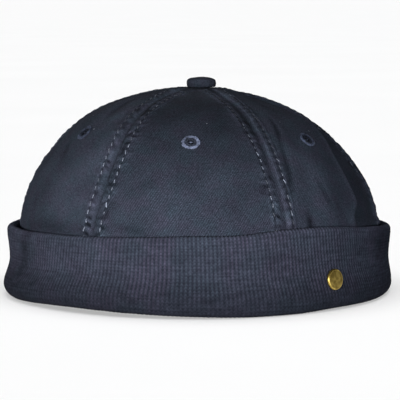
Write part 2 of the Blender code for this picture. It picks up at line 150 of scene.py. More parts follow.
class Recipe:
    """A material's node tree under construction, with the shader node that its parts feed."""

    def __init__(self, name: str, **shader_values: object) -> None:
        """Starts a material.

        Args:
            name: the material's name.
            **shader_values: values for the shader's sockets, with _ for a space in the socket's name.
        """
        self.material = bpy.data.materials.new(name)
        self.material.use_nodes = True
        self.tree = self.material.node_tree
        self.shader = self.tree.nodes["Principled BSDF"]
        for key, value in shader_values.items():
            self.shader.inputs[key.replace("_", " ")].default_value = value

    def node(self, kind: str, settings: dict, inputs: dict) -> bpy.types.Node:
        """Adds a node to this material's tree."""
        return add_node(self.tree, kind, settings, inputs)

    def sum_of(self, operation: str, first: object, second: object) -> Socket:
        """Works out one sum on two numbers, each of which is a socket or a value."""
        return self.node("ShaderNodeMath", {"operation": operation}, {0: first, 1: second}).outputs[0]

    def cloth(self) -> tuple[Socket, Socket, Socket]:
        """The point of the piece's own UV map, and its parts across and down."""
        point = self.node("ShaderNodeUVMap", {"uv_map": CLOTH_UV}, {}).outputs[0]
        parts = self.node("ShaderNodeSeparateXYZ", {}, {0: point}).outputs
        return point, parts[0], parts[1]

    def place(self) -> Socket:
        """The point's Object coordinates, in metres."""
        return self.node("ShaderNodeTexCoord", {}, {}).outputs["Object"]

    def rubbed(self) -> Socket:
        """How much paler a place is painted, for wear and painted light, or below 0 how much darker, for
        painted shade.
        """
        return self.node("ShaderNodeAttribute", {"attribute_name": WEAR_AND_SHADING}, {}).outputs["Fac"]

    def noise(self, position: Socket, size: float, detail: float = 2.0) -> Socket:
        """Clouds of a size, in the units of position, with some finer layers: values about one half."""
        inputs = {"Vector": position, "Scale": 1 / size, "Detail": detail}
        return self.node("ShaderNodeTexNoise", {}, inputs).outputs[0]

    def clouds(self, place: Socket, mottle: Mottle, mm: float = 1.0) -> tuple:
        """A mottle's noise and its Tones, where a millimetre is mm in the units of place."""
        noise = self.noise(place, mottle.size_mm * mm, mottle.detail)
        return noise, mottle.dark, mottle.pale, mottle.low, mottle.high

    def between(
        self,
        share: Socket,
        low: float,
        high: float,
        low_share: float = 0.0,
        high_share: float = 1.0,
        way: str = "LINEAR",
    ) -> Socket:
        """Carries a share over to a range of numbers, and holds it at the two ends.

        Args:
            share: the socket to read.
            low: the result where the share is at low_share.
            high: the result where the share is at high_share.
            low_share: where the range starts.
            high_share: where the range ends.
            way: how the result goes from one end to the other.

        Returns:
            The socket with the result.
        """
        ends = {"From Min": low_share, "From Max": high_share, "To Min": low, "To Max": high}
        node = self.node("ShaderNodeMapRange", {"interpolation_type": way}, {"Value": share, **ends})
        return node.outputs["Result"]

    def wave(self, position: Socket) -> Socket:
        """A smooth wave from 0 to 1 and back for every unit, highest half way between whole ones."""
        return self.between(self.sum_of("PINGPONG", position, 0.5), 0.0, 1.0, 0.0, 0.5, SMOOTH)

    def by_height(self, first: float, first_share: float, last: float, last_share: float) -> Socket:
        """Goes smoothly from one number at a height above the floor to another at a second height."""
        level = self.node("ShaderNodeSeparateXYZ", {}, {0: self.place()}).outputs[2]
        return self.between(level, first_share, last_share, first, last, SMOOTH)

    def stretched(self, share: Socket, middle: float, strength: Socket) -> Socket:
        """Makes a pattern stronger or weaker about its middle value."""
        apart = self.sum_of("MULTIPLY", self.sum_of("SUBTRACT", share, middle), strength)
        return self.sum_of("ADD", apart, middle)

    def blend(self, share: Socket, low: object, high: object) -> Socket:
        """Mixes two colours, each of which is a socket or a linear colour, by a share."""
        return self.node("ShaderNodeMix", {"data_type": "RGBA"}, {0: share, 6: low, 7: high}).outputs[2]

    def cast(self, position: Socket, size: float, cool: str, warm: str) -> Socket:
        """A colour that wanders between a cooler and a warmer hex colour, in clouds of a size."""
        share = self.between(self.noise(position, size), 0.0, 1.0, *CAST_EDGES)
        return self.blend(share, linear(cool), linear(warm))

    def toned(self, colour: Socket, *tones: tuple) -> Socket:
        """Multiplies a colour by numbers.

        Args:
            colour: the colour's socket.
            *tones: for each number its socket, or a pattern's socket and its Tones.

        Returns:
            The socket with the product.
        """
        for pattern, *reach in tones:
            factor = self.between(pattern, *reach) if reach else pattern
            inputs = {0: colour, "Scale": factor}
            colour = self.node("ShaderNodeVectorMath", {"operation": "SCALE"}, inputs).outputs[0]
        return colour

    def finish(self, colour: Socket, height: Socket, depth: float) -> Material:
        """Feeds the shader with a colour and a relief.

        Args:
            colour: the base colour's socket.
            height: the relief's socket, from 0 to 1.
            depth: how deep the relief is, in metres.

        Returns:
            The finished material.
        """
        self.tree.links.new(colour, self.shader.inputs["Base Color"])
        bump = self.node("ShaderNodeBump", {}, {"Strength": 1.0, "Distance": depth, "Height": height})
        self.tree.links.new(bump.outputs[0], self.shader.inputs["Normal"])
        return self.material


@dataclass(frozen=True)
class TwillFinish:
    """Cotton twill, piece-dyed navy and washed: steep diagonal ridges, a dry matt face, and a top painted
    slightly darker as shade.

    The eye reads fine slanting lines, a soft unevenness of the dye and now and then a pale speck of lint."""

    name: str = "cotton_twill"
    cool_ridge: str = "46525f"
    warm_ridge: str = "4d4d5e"
    furrow: str = "323742"
    lint: str = "9aa0ae"
    slant: float = math.radians(60.6)
    # A real twill of this weight has a ridge every 0.75 mm or so. At 0.45 mm a pixel that would only show as
    # grey, so the front's ridges are drawn at the spacing that the picture resolves.
    pitch_mm: float = 1.037
    yarn_mm: float = 0.9
    yarn_low: float = 0.75
    wander_mm: float = 5.0
    wander: float = 0.35
    cast_mm: float = 9.0
    dye: Mottle = Mottle(16.0, 3.0, 0.84, 1.16)
    slub: Mottle = Mottle(1.3, 3.0, 0.72, 1.28, 0.25, 0.75)
    fleck: Mottle = Mottle(0.5, 1.0, 0.5, 1.6, 0.25, 0.75)
    wear_and_shading_tones: Tones = (0.35, 1.65, -1.0, 1.0)
    depth: float = 0.12 * MM
    slub_relief: float = 0.5
    # Painted shade: the colour is painted darker towards the top of the crown, and the ridges show less there.
    painted_shade_height: float = 88 * MM
    unshaded_height: float = 44 * MM
    painted_shade: float = 0.88
    woven_middle: float = 0.45
    contrast: float = 0.76
    shaded_contrast: float = 0.45
    # Lint: the cell that a speck may be in, its core and its edge as shares of the cell, how much of it shows
    # at two heights, the share of cells that have none, and how strongly the rest show.
    lint_cell_mm: float = 9.5
    lint_radius: Span = (0.03, 0.056)
    lint_heights: Four = (56 * MM, 0.35, 76 * MM, 1.0)
    lint_free: Span = (0.62, 0.64)
    lint_strength: float = 0.8

    def make(self) -> Material:
        """Makes the material, whose lines follow the cloth's own UV map in millimetres.

        Returns:
            The material.
        """
        recipe = Recipe(self.name, Roughness=0.9, **CLOTH_SHADER)
        cloth, across, down = recipe.cloth()
        wander = recipe.between(recipe.noise(cloth, self.wander_mm), -self.wander, self.wander)
        steep = recipe.sum_of("MULTIPLY", across, math.sin(self.slant) / self.pitch_mm)
        flat = recipe.sum_of("MULTIPLY", down, math.cos(self.slant) / self.pitch_mm)
        ridge = recipe.wave(recipe.sum_of("ADD", recipe.sum_of("ADD", steep, flat), wander))
        yarn = recipe.wave(recipe.sum_of("MULTIPLY", down, 1 / self.yarn_mm))
        woven = recipe.sum_of("MULTIPLY", ridge, recipe.between(yarn, self.yarn_low, 1.0))
        # Painted shade: the ridges show less towards the top.
        contrast = recipe.by_height(self.unshaded_height, self.contrast, self.painted_shade_height, self.shaded_contrast)
        woven = recipe.stretched(woven, self.woven_middle, contrast)
        ridge_colour = recipe.cast(cloth, self.cast_mm, self.cool_ridge, self.warm_ridge)
        slub = recipe.clouds(cloth, self.slub)
        colour = recipe.toned(
            recipe.blend(woven, linear(self.furrow), ridge_colour),
            recipe.clouds(cloth, self.dye),
            slub,
            recipe.clouds(cloth, self.fleck),
            (recipe.rubbed(), *self.wear_and_shading_tones),
            # Painted shade, darker towards the top.
            (recipe.by_height(self.unshaded_height, 1.0, self.painted_shade_height, self.painted_shade),),
        )
        colour = recipe.blend(self.lint_share(recipe, cloth), colour, linear(self.lint))
        height = recipe.sum_of("ADD", woven, recipe.sum_of("MULTIPLY", slub[0], self.slub_relief))
        return recipe.finish(colour, height, self.depth)

    def lint_share(self, recipe: Recipe, cloth: Socket) -> Socket:
        """Sparse specks, mostly high on the crown: the middles of a few cells of a scattered pattern."""
        inputs = {"Vector": cloth, "Scale": 1 / self.lint_cell_mm, "Randomness": 1.0}
        cells = recipe.node("ShaderNodeTexVoronoi", {}, inputs)
        near = recipe.between(cells.outputs["Distance"], 1.0, 0.0, *self.lint_radius)
        near = recipe.sum_of("MULTIPLY", near, recipe.by_height(*self.lint_heights))
        chance = recipe.node("ShaderNodeSeparateColor", {}, {0: cells.outputs["Color"]}).outputs[0]
        chosen = recipe.between(chance, 0.0, self.lint_strength, *self.lint_free)
        return recipe.sum_of("MULTIPLY", near, chosen)


@dataclass(frozen=True)
class KnitFinish:
    """Wool-mix rib knit, machine-knitted and dyed navy: upright ribs of small V stitches with dark furrows,
    partly painted shade.

    The eye reads soft matt cords side by side, each broken by its stitches, with a faint fuzz."""

    cool_crest: str = "48505e"
    warm_crest: str = "504f61"
    # The furrows' darker colour is partly painted shade.
    furrow: str = "393d4a"
    stitch_mm: float = 1.5
    stitch_tones: Span = (0.84, 1.1)
    # How far the two sides of a V stitch lag behind its middle, in stitches for half a rib.
    stitch_lag: float = 1.4
    cast_mm: float = 12.0
    dye: Mottle = Mottle(18.0, 3.0, 0.9, 1.1)
    blotch: Mottle = Mottle(2.6, 2.0, 0.82, 1.18)
    fuzz: Mottle = Mottle(0.6, 2.0, 0.7, 1.3, 0.25, 0.75)
    # Level streaks, whose clouds are stretched over ribs and rows.
    streak: Mottle = Mottle(1.0, 1.0, 0.86, 1.14)
    streak_ribs: float = 9.0
    streak_mm: float = 1.1
    wear_and_shading_tones: Tones = (0.35, 1.65, -1.0, 1.0)
    depth: float = 0.12 * MM
    relief: float = 0.6
    # Painted shade: the colour is painted darker down to the fold at the foot, and its ribs are drawn flat
    # there.
    painted_shade_height: float = 6 * MM
    unshaded_height: float = 24 * MM
    painted_shade: float = 0.52
    flat_height: float = 3 * MM
    ribbed_height: float = 13 * MM
    flat: float = 0.35

    def make(self) -> Material:
        """Makes the material. Its UV map counts ribs across, and millimetres of cloth along them.

        Returns:
            The material.
        """
        recipe = Recipe("rib_knit", Roughness=0.92, **CLOTH_SHADER)
        _, rib, along = recipe.cloth()
        place = recipe.place()
        # The wave is highest half way between whole numbers, and the ribs' crests are at whole numbers.
        crest = recipe.wave(recipe.sum_of("ADD", rib, 0.5))
        ribbed = recipe.by_height(self.flat_height, self.flat, self.ribbed_height, 1.0)
        crest = recipe.stretched(crest, 0.5, ribbed)
        lag = recipe.sum_of("MULTIPLY", recipe.sum_of("PINGPONG", rib, 0.5), self.stitch_lag)
        rows = recipe.sum_of("MULTIPLY", along, 1 / self.stitch_mm)
        stitch = recipe.wave(recipe.sum_of("ADD", rows, lag))
        across = recipe.sum_of("MULTIPLY", rib, 1 / self.streak_ribs)
        upward = recipe.sum_of("MULTIPLY", along, 1 / self.streak_mm)
        level = recipe.node("ShaderNodeCombineXYZ", {}, {0: across, 1: upward}).outputs[0]
        fuzz = recipe.clouds(place, self.fuzz, MM)
        crest_colour = recipe.cast(place, self.cast_mm * MM, self.cool_crest, self.warm_crest)
        colour = recipe.toned(
            recipe.blend(crest, linear(self.furrow), crest_colour),
            recipe.clouds(place, self.blotch, MM),
            (stitch, *self.stitch_tones),
            recipe.clouds(level, self.streak),
            (recipe.rubbed(), *self.wear_and_shading_tones),
            fuzz,
            recipe.clouds(place, self.dye, MM),
            # Painted shade, darker down to the fold at the foot.
            (recipe.by_height(self.painted_shade_height, self.painted_shade, self.unshaded_height, 1.0),),
        )
        height = recipe.sum_of("MULTIPLY", recipe.sum_of("ADD", stitch, fuzz[0]), self.relief)
        return recipe.finish(colour, height, self.depth)


@dataclass(frozen=True)
class ThreadFinish:
    """Polyester thread, spun and twisted: paler than the cloth, with a soft lustre and slanting plies."""

    name: str
    face: str
    shade: str
    twist_mm: float = 0.8
    ply_low: float = 0.3
    patch: Mottle = Mottle(2.2, 2.0, 0.5, 1.4)
    wear_and_shading_tones: Tones = (0.0, 2.0, -1.0, 1.0)
    depth: float = 0.05 * MM
    # Painted shade: the thread high on the crown is painted darker, nearly as dark as the cloth.
    unshaded_height: float = 72 * MM
    painted_shade_height: float = 84 * MM
    painted_shade: float = 0.3

    def make(self) -> Material:
        """Makes the material. Its UV map gives turns round the thread, and millimetres along it.

        Returns:
            The material.
        """
        recipe = Recipe(self.name, Roughness=0.6, Specular_IOR_Level=0.1)
        _, turns, along = recipe.cloth()
        ply = recipe.wave(recipe.sum_of("ADD", recipe.sum_of("MULTIPLY", along, 1 / self.twist_mm), turns))
        colour = recipe.toned(
            recipe.blend(recipe.between(ply, self.ply_low, 1.0), linear(self.shade), linear(self.face)),
            recipe.clouds(recipe.place(), self.patch, MM),
            (recipe.rubbed(), *self.wear_and_shading_tones),
            # Painted shade, darker high on the crown.
            (recipe.by_height(self.unshaded_height, 1.0, self.painted_shade_height, self.painted_shade),),
        )
        return recipe.finish(colour, ply, self.depth)


@dataclass(frozen=True)
class BrassFinish:
    """Stamped brass, tumbled to a satin: warm metal with fine uneven lines and duller patches, worn bright on
    its edge, where a highlight is also painted, and left brown where nothing rubs it."""

    bright: str = "ad9751"
    dull: str = "7c6933"
    grain_mm: float = 0.25
    patch_mm: float = 2.2
    wear_and_shading_tones: Tones = (0.25, 1.75, -1.0, 1.0)
    roughness: Tones = (0.54, 0.46, 0.3, 0.7)
    polish: float = 0.1
    depth: float = 0.006 * MM

    def make(self) -> Material:
        """Makes the material on Object coordinates.

        Returns:
            The material.
        """
        recipe = Recipe("satin_brass", Metallic=1.0)
        place, rubbed = recipe.place(), recipe.rubbed()
        grain = recipe.noise(place, self.grain_mm * MM, 3.0)
        patch = recipe.noise(place, self.patch_mm * MM, 3.0)
        clean = recipe.between(patch, 0.0, 1.0, *CAST_EDGES)
        colour = recipe.blend(clean, linear(self.dull), linear(self.bright))
        colour = recipe.toned(colour, (rubbed, *self.wear_and_shading_tones))
        polish = recipe.sum_of("MULTIPLY", rubbed, self.polish)
        roughness = recipe.sum_of("SUBTRACT", recipe.between(patch, *self.roughness), polish)
        recipe.tree.links.new(roughness, recipe.shader.inputs["Roughness"])
        return recipe.finish(colour, grain, self.depth)


@dataclass(frozen=True)
class FloorFinish:
    """Matt painted studio floor, near white, with a faint unevenness."""

    pale: str = "f4f4f4"
    shade: str = "efefef"
    patch: float = 0.35
    depth: float = 0.02 * MM

    def make(self) -> Material:
        """Makes the material on Object coordinates.

        Returns:
            The material.
        """
        recipe = Recipe("matt_floor", Roughness=0.95, Specular_IOR_Level=0.1)
        cloud = recipe.noise(recipe.place(), self.patch, 3.0)
        colour = recipe.blend(cloud, linear(self.shade), linear(self.pale))
        return recipe.finish(colour, cloud, self.depth)


# Meshes from grids.


def grid_faces(rows: int, columns: int, closed_rows: bool, closed_columns: bool) -> Pair:
    """Quads of a grid of points whose rows run down and whose columns run round towards +X.

    Args:
        rows: rows of points.
        columns: columns of points.
        closed_rows: whether the last row joins the first.
        closed_columns: whether the last column joins the first.

    Returns:
        The quads by point number, and the same quads by number in a UV grid of one more row and column.
    """
    row = np.arange(rows if closed_rows else rows - 1)[:, None]
    column = np.arange(columns if closed_columns else columns - 1)[None, :]
    corners = ((0, 0), (1, 0), (1, 1), (0, 1))
    points = [(row + down) % rows * columns + (column + over) % columns for down, over in corners]
    marks = [(row + down) * (columns + 1) + (column + over) for down, over in corners]
    return np.stack(points, -1).reshape(-1, 4), np.stack(marks, -1).reshape(-1, 4)


def capped_faces(rows: int, columns: int) -> tuple[list[Array], list[Array]]:
    """Faces of a tube of points, as from grid_faces, with a fan to a tip at each end.

    Args:
        rows: rows of points, after which come the first row's tip and the last row's tip.
        columns: columns of points.

    Returns:
        The quads and the fans' triangles by point number, and the same by UV point number, where both tips have
        the one that comes after the UV grid.
    """
    quads, marks = grid_faces(rows, columns, False, True)
    ring, last = np.arange(columns), (rows - 1) * columns
    after = (ring + 1) % columns
    first_fan = np.stack([np.full(columns, rows * columns), ring, after], -1)
    last_fan = np.stack([np.full(columns, rows * columns + 1), last + after, last + ring], -1)
    tip, last = np.full(columns, (rows + 1) * (columns + 1)), (rows - 1) * (columns + 1) + ring
    fan_marks = np.concatenate([np.stack([tip, ring, ring + 1], -1), np.stack([tip, last + 1, last], -1)])
    return [quads, np.concatenate([first_fan, last_fan])], [marks, fan_marks]


def make_piece(
    name: str,
    points: Array,
    faces: list[Array],
    marks: Array,
    mark_faces: list[Array],
    material: Material,
    rubbed: Array | None = None,
) -> Piece:
    """Makes a smooth-shaded mesh with a UV map, as an object at the origin.

    Args:
        name: the piece's name.
        points: its points.
        faces: arrays of faces by point number, each array with faces of one size.
        marks: UV points.
        mark_faces: the same faces by UV point number.
        material: its finish.
        rubbed: how much paler each point is painted, for wear and painted light, or below 0 how much darker,
            for painted shade.

    Returns:
        The new object.
    """
    mesh = bpy.data.meshes.new(name)
    points = np.asarray(points, float).reshape(-1, 3)
    corners = np.concatenate([face.ravel() for face in faces]).astype(np.int32)
    sizes = np.concatenate([np.full(len(face), face.shape[1]) for face in faces])
    starts = (np.cumsum(sizes) - sizes).astype(np.int32)
    mesh.vertices.add(len(points))
    mesh.vertices.foreach_set("co", points.astype(np.float32).ravel())
    mesh.loops.add(len(corners))
    mesh.loops.foreach_set("vertex_index", corners)
    mesh.polygons.add(len(starts))
    mesh.polygons.foreach_set("loop_start", starts)
    mesh.update(calc_edges=True)
    mark_corners = np.concatenate([face.ravel() for face in mark_faces])
    layer = mesh.uv_layers.new(name=CLOTH_UV)
    layer.data.foreach_set("uv", np.asarray(marks, np.float32).reshape(-1, 2)[mark_corners].ravel())
    if rubbed is not None:
        wear_and_shading_values = mesh.attributes.new(WEAR_AND_SHADING, "FLOAT", "POINT")
        wear_and_shading_values.data.foreach_set("value", rubbed.astype(np.float32).ravel())
    mesh.materials.append(material)
    mesh.shade_smooth()
    mesh.validate()
    piece = bpy.data.objects.new(name, mesh)
    bpy.context.scene.collection.objects.link(piece)
    return piece


def dress(piece: Piece, slot: Slot, *nodes: str) -> None:
    """Ties a piece to the cap's body, hides the solids that it stands for, and logs its slot.

    Args:
        piece: the piece.
        slot: the record's material slot, named in the log.
        *nodes: the solids that it replaces.
    """
    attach(piece, BODY)
    if nodes:
        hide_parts(*nodes)
    count = len(piece.data.polygons)
    log.info("%s: %d faces, slot %s, stands for %s", piece.name, count, slot.value, nodes)


def soft_noise(across: Array, down: Array, around: int, seed: int) -> Array:
    """Smooth random values from -1 to 1: a lattice of random numbers, eased between its four nearest ones.

    Args:
        across: position across, in lattice cells, which repeats after `around` cells.
        down: position down, in lattice cells.
        around: how many cells the lattice has across.
        seed: which lattice.

    Returns:
        The values, in the shape of the two positions together.
    """
    lattice = np.random.default_rng(seed).uniform(-1, 1, (NOISE_CELLS, around))
    across, down = np.broadcast_arrays(across, down)
    column, row = np.floor(across).astype(int), np.floor(down).astype(int)
    over, under = across - column, down - row
    over, under = over * over * (3 - 2 * over), under * under * (3 - 2 * under)
    column, after = column % around, (column + 1) % around
    row, below = row % NOISE_CELLS, (row + 1) % NOISE_CELLS
    upper = lattice[row, column] * (1 - over) + lattice[row, after] * over
    lower = lattice[below, column] * (1 - over) + lattice[below, after] * over
    return upper * (1 - under) + lower * under


def bell(distance: Array, width: float) -> Array:
    """A bell curve of a distance: 1 in the middle, and 1/e at the width."""
    return np.exp(-((distance / width) ** 2))


def eased(value: Array, low: float, high: float) -> Array:
    """Goes smoothly from 0 at low to 1 at high."""
    share = np.clip((value - low) / (high - low), 0, 1)
    return share * share * (3 - 2 * share)


def plateau(value: Array, low: float, full: float, ends: float, gone: float) -> Array:
    """Goes smoothly from 0 at low to 1 at full, and from 1 where it ends back to 0 where it is gone."""
    return eased(value, low, full) * (1 - eased(value, ends, gone))


def unit(vectors: Array) -> Array:
    """The same directions at length one."""
    return vectors / np.linalg.norm(vectors, axis=-1, keepdims=True)


def turn_from(middle: Array | float, bearing: Array) -> Array:
    """The turn from one bearing to another, at most half a turn to either side."""
    return (bearing - middle + math.pi) % TAU - math.pi


def ring_of(count: int) -> Array:
    """Angles of points that are spaced evenly round one turn."""
    return TAU * np.arange(count) / count


def mark_grid(across: Array, down: Array) -> Array:
    """UV points with every pair of a value across and a value down."""
    return np.stack(np.meshgrid(across, down), -1).reshape(-1, 2)


def outward_of(grid: Array) -> Array:
    """Unit normals of a grid of points whose rows run down and whose columns run round towards +X."""
    down, across = np.gradient(grid, axis=(0, 1))
    return unit(np.cross(down, across))


def turned_frame(axis: Array) -> Array:
    """Rows of two directions across an axis, then the axis: the first is level."""
    level = np.cross((0.0, 0.0, 1.0), axis)
    level = np.array((1.0, 0.0, 0.0)) if np.linalg.norm(level) < 1e-6 else level / np.linalg.norm(level)
    return np.stack([level, np.cross(axis, level), axis])


# The crown.


@dataclass(frozen=True)
class Stripe:
    """A line along a seam that is painted paler, for wear and painted light on a raised cord, or below 0
    darker, for painted shade in a furrow or beside the rows: in millimetres its distance from the seam towards
    +X and its width, and how pale it is high on the crown, half way and low."""

    distance: float
    width: float
    high: float
    middle: float
    low: float


@dataclass(frozen=True)
class Seam:
    """A seam: its bearings in degrees at the crown's hem and at its top, how far it swings towards +X between
    them, how strong its cord, its valley, the quilting between its rows and its puckers are, how far its
    sewing lies to the side of it, how pale its two rows are, and its stripes."""

    hem: float
    top: float
    swing: float = 0.0
    cord: float = 0.6
    valley: float = 0.5
    quilting: float = 0.6
    puckers: float = 1.0
    aside: float = 0.0
    rows_worn: Span = (-0.45, -0.45)
    stripes: tuple[Stripe, ...] = (Stripe(0.0, 0.6, -0.3, -0.3, -0.3), Stripe(1.5, 0.6, 0.5, 0.5, 0.4))


@dataclass(frozen=True)
class Panel:
    """A panel's two seams, where its eyelet is, and how far its cloth's grain is turned, in degrees."""

    left: str
    right: str
    eyelet_bearing: float
    eyelet_fall: float
    grain: float


@dataclass(frozen=True)
class Fold:
    """A fold or crease of the crown: a line between two points in degrees, its width and its height in
    millimetres, and how much paler it is painted, for wear and painted light, or below 0 darker, for painted
    shade."""

    bearing_from: float
    fall_from: float
    bearing_to: float
    fall_to: float
    width: float
    height: float
    rubbed: float = 0.0


@dataclass(frozen=True)
class Crown:
    """The crown's form: an oval that shrinks to a point along a soft half ellipse, with seams and folds."""

    half_width: float = 87.9 * MM
    depth_ratio: float = 1.10
    base: float = 30.0 * MM
    rise: float = 68.9 * MM
    fullness: float = 2.05
    flatness: float = 1.82
    lean: float = 1.2 * MM
    lean_power: float = 1.3
    shoulder_fall: float = math.radians(37)
    shoulder_spread: float = math.radians(14)
    shoulder_swell: float = 1.0 * MM
    wall: float = 1.2 * MM
    hem: float = 24.3 * MM
    opening: float = 2.9 * MM
    valley_depth: float = 0.7 * MM
    valley_width: float = 2.6 * MM
    valley_starts: float = 0.08
    valley_full: float = 0.28
    fold_end_share: float = 0.35
    stitch_row: float = 4.3 * MM
    stitch_pitch: float = 3.9 * MM
    # The power of the reach that puts the widest place of a seam's swing low on the crown.
    swing_power: int = 4
    # How finely the face is read for a direction and for lengths of cloth.
    seat_step: float = 0.01
    meridian_steps: int = 600
    girth_steps: int = 2881
    seams: dict[str, Seam] = field(
        default_factory=lambda: {
            "right_front": Seam(
                *(27.6, 27.6, 0.0, 1.0, 0.15, 0.5, 0.9, 0.55 * MM),
                rows_worn=(-0.05, -0.35),
                stripes=(
                    Stripe(-5.8, 0.7, 0.0, -0.45, -0.1),
                    Stripe(-1.9, 1.8, -0.35, -0.5, -0.1),
                    Stripe(0.3, 0.6, 0.0, -0.1, -0.55),
                    Stripe(1.6, 0.48, 0.8, 0.85, 0.1),
                    Stripe(3.05, 0.7, -0.1, -0.35, -0.6),
                ),
            ),
            "right_side": Seam(84.0, 88.0),
            "right_back": Seam(151.0, 147.0),
            "left_back": Seam(-151.0, -147.0),
            "left_side": Seam(-84.0, -88.0),
            "left_front": Seam(
                *(-28.0, -29.9, 1.8, 0.25, 0.5, 1.0, 1.2, -0.5 * MM),
                rows_worn=(0.15, 0.15),
                stripes=(
                    Stripe(-2.8, 0.6, -0.3, -0.28, -0.25),
                    Stripe(-0.7, 0.7, 0.4, 0.0, 0.0),
                    Stripe(0.5, 0.7, -0.1, -0.45, -0.35),
                    Stripe(1.8, 0.7, -0.75, 0.0, 0.0),
                    Stripe(2.8, 0.9, 0.0, -0.3, -0.2),
                    Stripe(5.6, 0.6, 0.0, -0.3, -0.3),
                ),
            ),
        }
    )
    panels: dict[str, Panel] = field(
        default_factory=lambda: {
            "front": Panel("left_front", "right_front", 0.2, 45.7, 0.0),
            "front_right": Panel("right_front", "right_side", 54.8, 45.9, -16.0),
            "back_right": Panel("right_side", "right_back", 117.0, 46.0, -8.0),
            "back": Panel("right_back", "left_back", 180.0, 46.0, 0.0),
            "back_left": Panel("left_back", "left_side", -117.0, 46.0, -8.0),
            "front_left": Panel("left_side", "left_front", -54.0, 44.1, -16.0),
        }
    )
    folds: tuple[Fold, ...] = (
        Fold(50, 34, 37, 82, 7, -1.1),
        Fold(46, 52, 47, 86, 7, 0.9),
        Fold(72, 40, 64, 80, 8, -0.8),
        Fold(92, 60, 92, 84, 13, 0.9),
        Fold(80, 87, 104, 87, 4.5, 1.6),
        Fold(-92, 62, -92, 80, 12, -0.7),
        Fold(-56, 38, -46, 15, 6, 0.9),
        Fold(-72, 44, -40, 60, 9, -0.9),
        Fold(-100, 42, -108, 78, 9, -0.9),
        Fold(128, 40, 136, 80, 9, -0.9),
        Fold(172, 50, 160, 82, 9, -0.7),
    )

    def oval(self, bearing: Array) -> Pair:
        """The widest line.

        Args:
            bearing: the places' bearings.

        Returns:
            The oval's points at the bearings, and the outward direction at each.
        """
        half_depth = self.depth_ratio * self.half_width
        across, along = np.sin(bearing), -np.cos(bearing)
        reach = 1 / np.hypot(across / self.half_width, along / half_depth)
        points = np.stack([across * reach, along * reach], -1)
        return points, unit(points / (self.half_width**2, half_depth**2))

    def reach(self, fall: Array) -> Array:
        """How far out the meridian is: 0 at the top, 1 at the widest line and below it."""
        return np.sin(np.minimum(fall, QUARTER_TURN)) ** (2 / self.fullness)

    def height(self, fall: Array) -> Array:
        """The height above the widest line. Past a quarter turn the wall runs straight down."""
        dome = self.rise * np.cos(np.minimum(fall, QUARTER_TURN)) ** (2 / self.flatness)
        return dome - self.half_width * np.maximum(fall - QUARTER_TURN, 0)

    def seam_bearing(self, name: str, fall: Array) -> Array:
        """The seam's bearing, which moves evenly from its top to its hem value with the reach, and swings."""
        seam = self.seams[name]
        hem, top, swing = math.radians(seam.hem), math.radians(seam.top), math.radians(seam.swing)
        reach = self.reach(fall)
        return top + (hem - top) * reach + swing * np.sin(math.pi * reach**self.swing_power)

    def seam_distance(self, name: str, bearing: Array, fall: Array) -> Array:
        """The distance to a seam across the cloth, positive towards +X at the front."""
        return turn_from(self.seam_bearing(name, fall), bearing) * self.reach(fall) * self.half_width

    def fade(self, fall: Array) -> Array:
        """How strong the seams' relief is: none at the very top, full from a quarter of the way out."""
        span = self.valley_full - self.valley_starts
        return np.clip((self.reach(fall) - self.valley_starts) / span, 0, 1)

    def soft_relief(self, bearing: Array, fall: Array) -> Array:
        """The solids' relief: the lean, the shoulder, a shallow valley at each seam and the soft folds."""
        lean = -self.lean * np.sin(bearing) * np.sin(math.pi * self.reach(fall) ** self.lean_power)
        relief = lean + self.shoulder_swell * bell(fall - self.shoulder_fall, self.shoulder_spread)
        near = np.min([np.abs(self.seam_distance(name, bearing, fall)) for name in self.seams], axis=0)
        relief = relief - self.valley_depth * bell(near, self.valley_width) * self.fade(fall)
        for fold in self.folds:
            relief = relief + fold.height * MM * self.fold_share(fold, bearing, fall)
        return relief

    def fold_share(self, fold: Fold, bearing: Array, fall: Array) -> Array:
        """How much of a fold's height is at a place: a bell curve across its line, which keeps a share of its
        height at its two ends.

        Args:
            fold: the fold.
            bearing: the places' bearings.
            fall: the places' falls.

        Returns:
            Shares from 0 to 1.
        """
        start = np.radians((fold.bearing_from, fold.fall_from))
        end = np.radians((fold.bearing_to, fold.fall_to))
        scale = self.half_width * math.sin((start[1] + end[1]) / 2)
        across = turn_from(start[0], bearing) * scale
        down = (fall - start[1]) * self.half_width
        line = (end - start) * (scale, self.half_width)
        length = np.linalg.norm(line)
        line = line / length
        along = np.clip(across * line[0] + down * line[1], 0, length)
        distance = np.hypot(across - along * line[0], down - along * line[1])
        share = self.fold_end_share + (1 - self.fold_end_share) * np.sin(math.pi * along / length)
        return share * bell(distance, fold.width * MM)

    def face(self, bearing: Array, fall: Array, added: Array | float = 0.0) -> Array:
        """Points of the outer face: the oval scaled by the reach, raised by the relief along the dome's normal.

        Args:
            bearing: the places' bearings.
            fall: the places' falls.
            added: relief on top of the solids' own.

        Returns:
            The points.
        """
        bearing, fall = np.broadcast_arrays(bearing, fall)
        reach = self.reach(fall)
        oval, _ = self.oval(bearing)
        relief = self.soft_relief(bearing, fall) + added
        length = np.linalg.norm(oval, axis=-1)
        flat = oval * ((reach * length + relief * reach) / length)[..., None]
        height = self.base + self.height(fall) + relief * np.sqrt(1 - np.minimum(reach, 1) ** 2)
        return np.concatenate([flat, height[..., None]], -1)

    def seat(self, bearing: float, fall: float) -> Pair:
        """A point of the face and the outward direction there, read over a small turn to every side."""
        step = self.seat_step
        turns = np.array([bearing - step, bearing + step, bearing, bearing, bearing])
        falls = np.array([fall, fall, fall - step, fall + step, fall])
        left, right, above, below, centre = self.face(turns, falls)
        return centre, unit(np.cross(right - left, above - below))

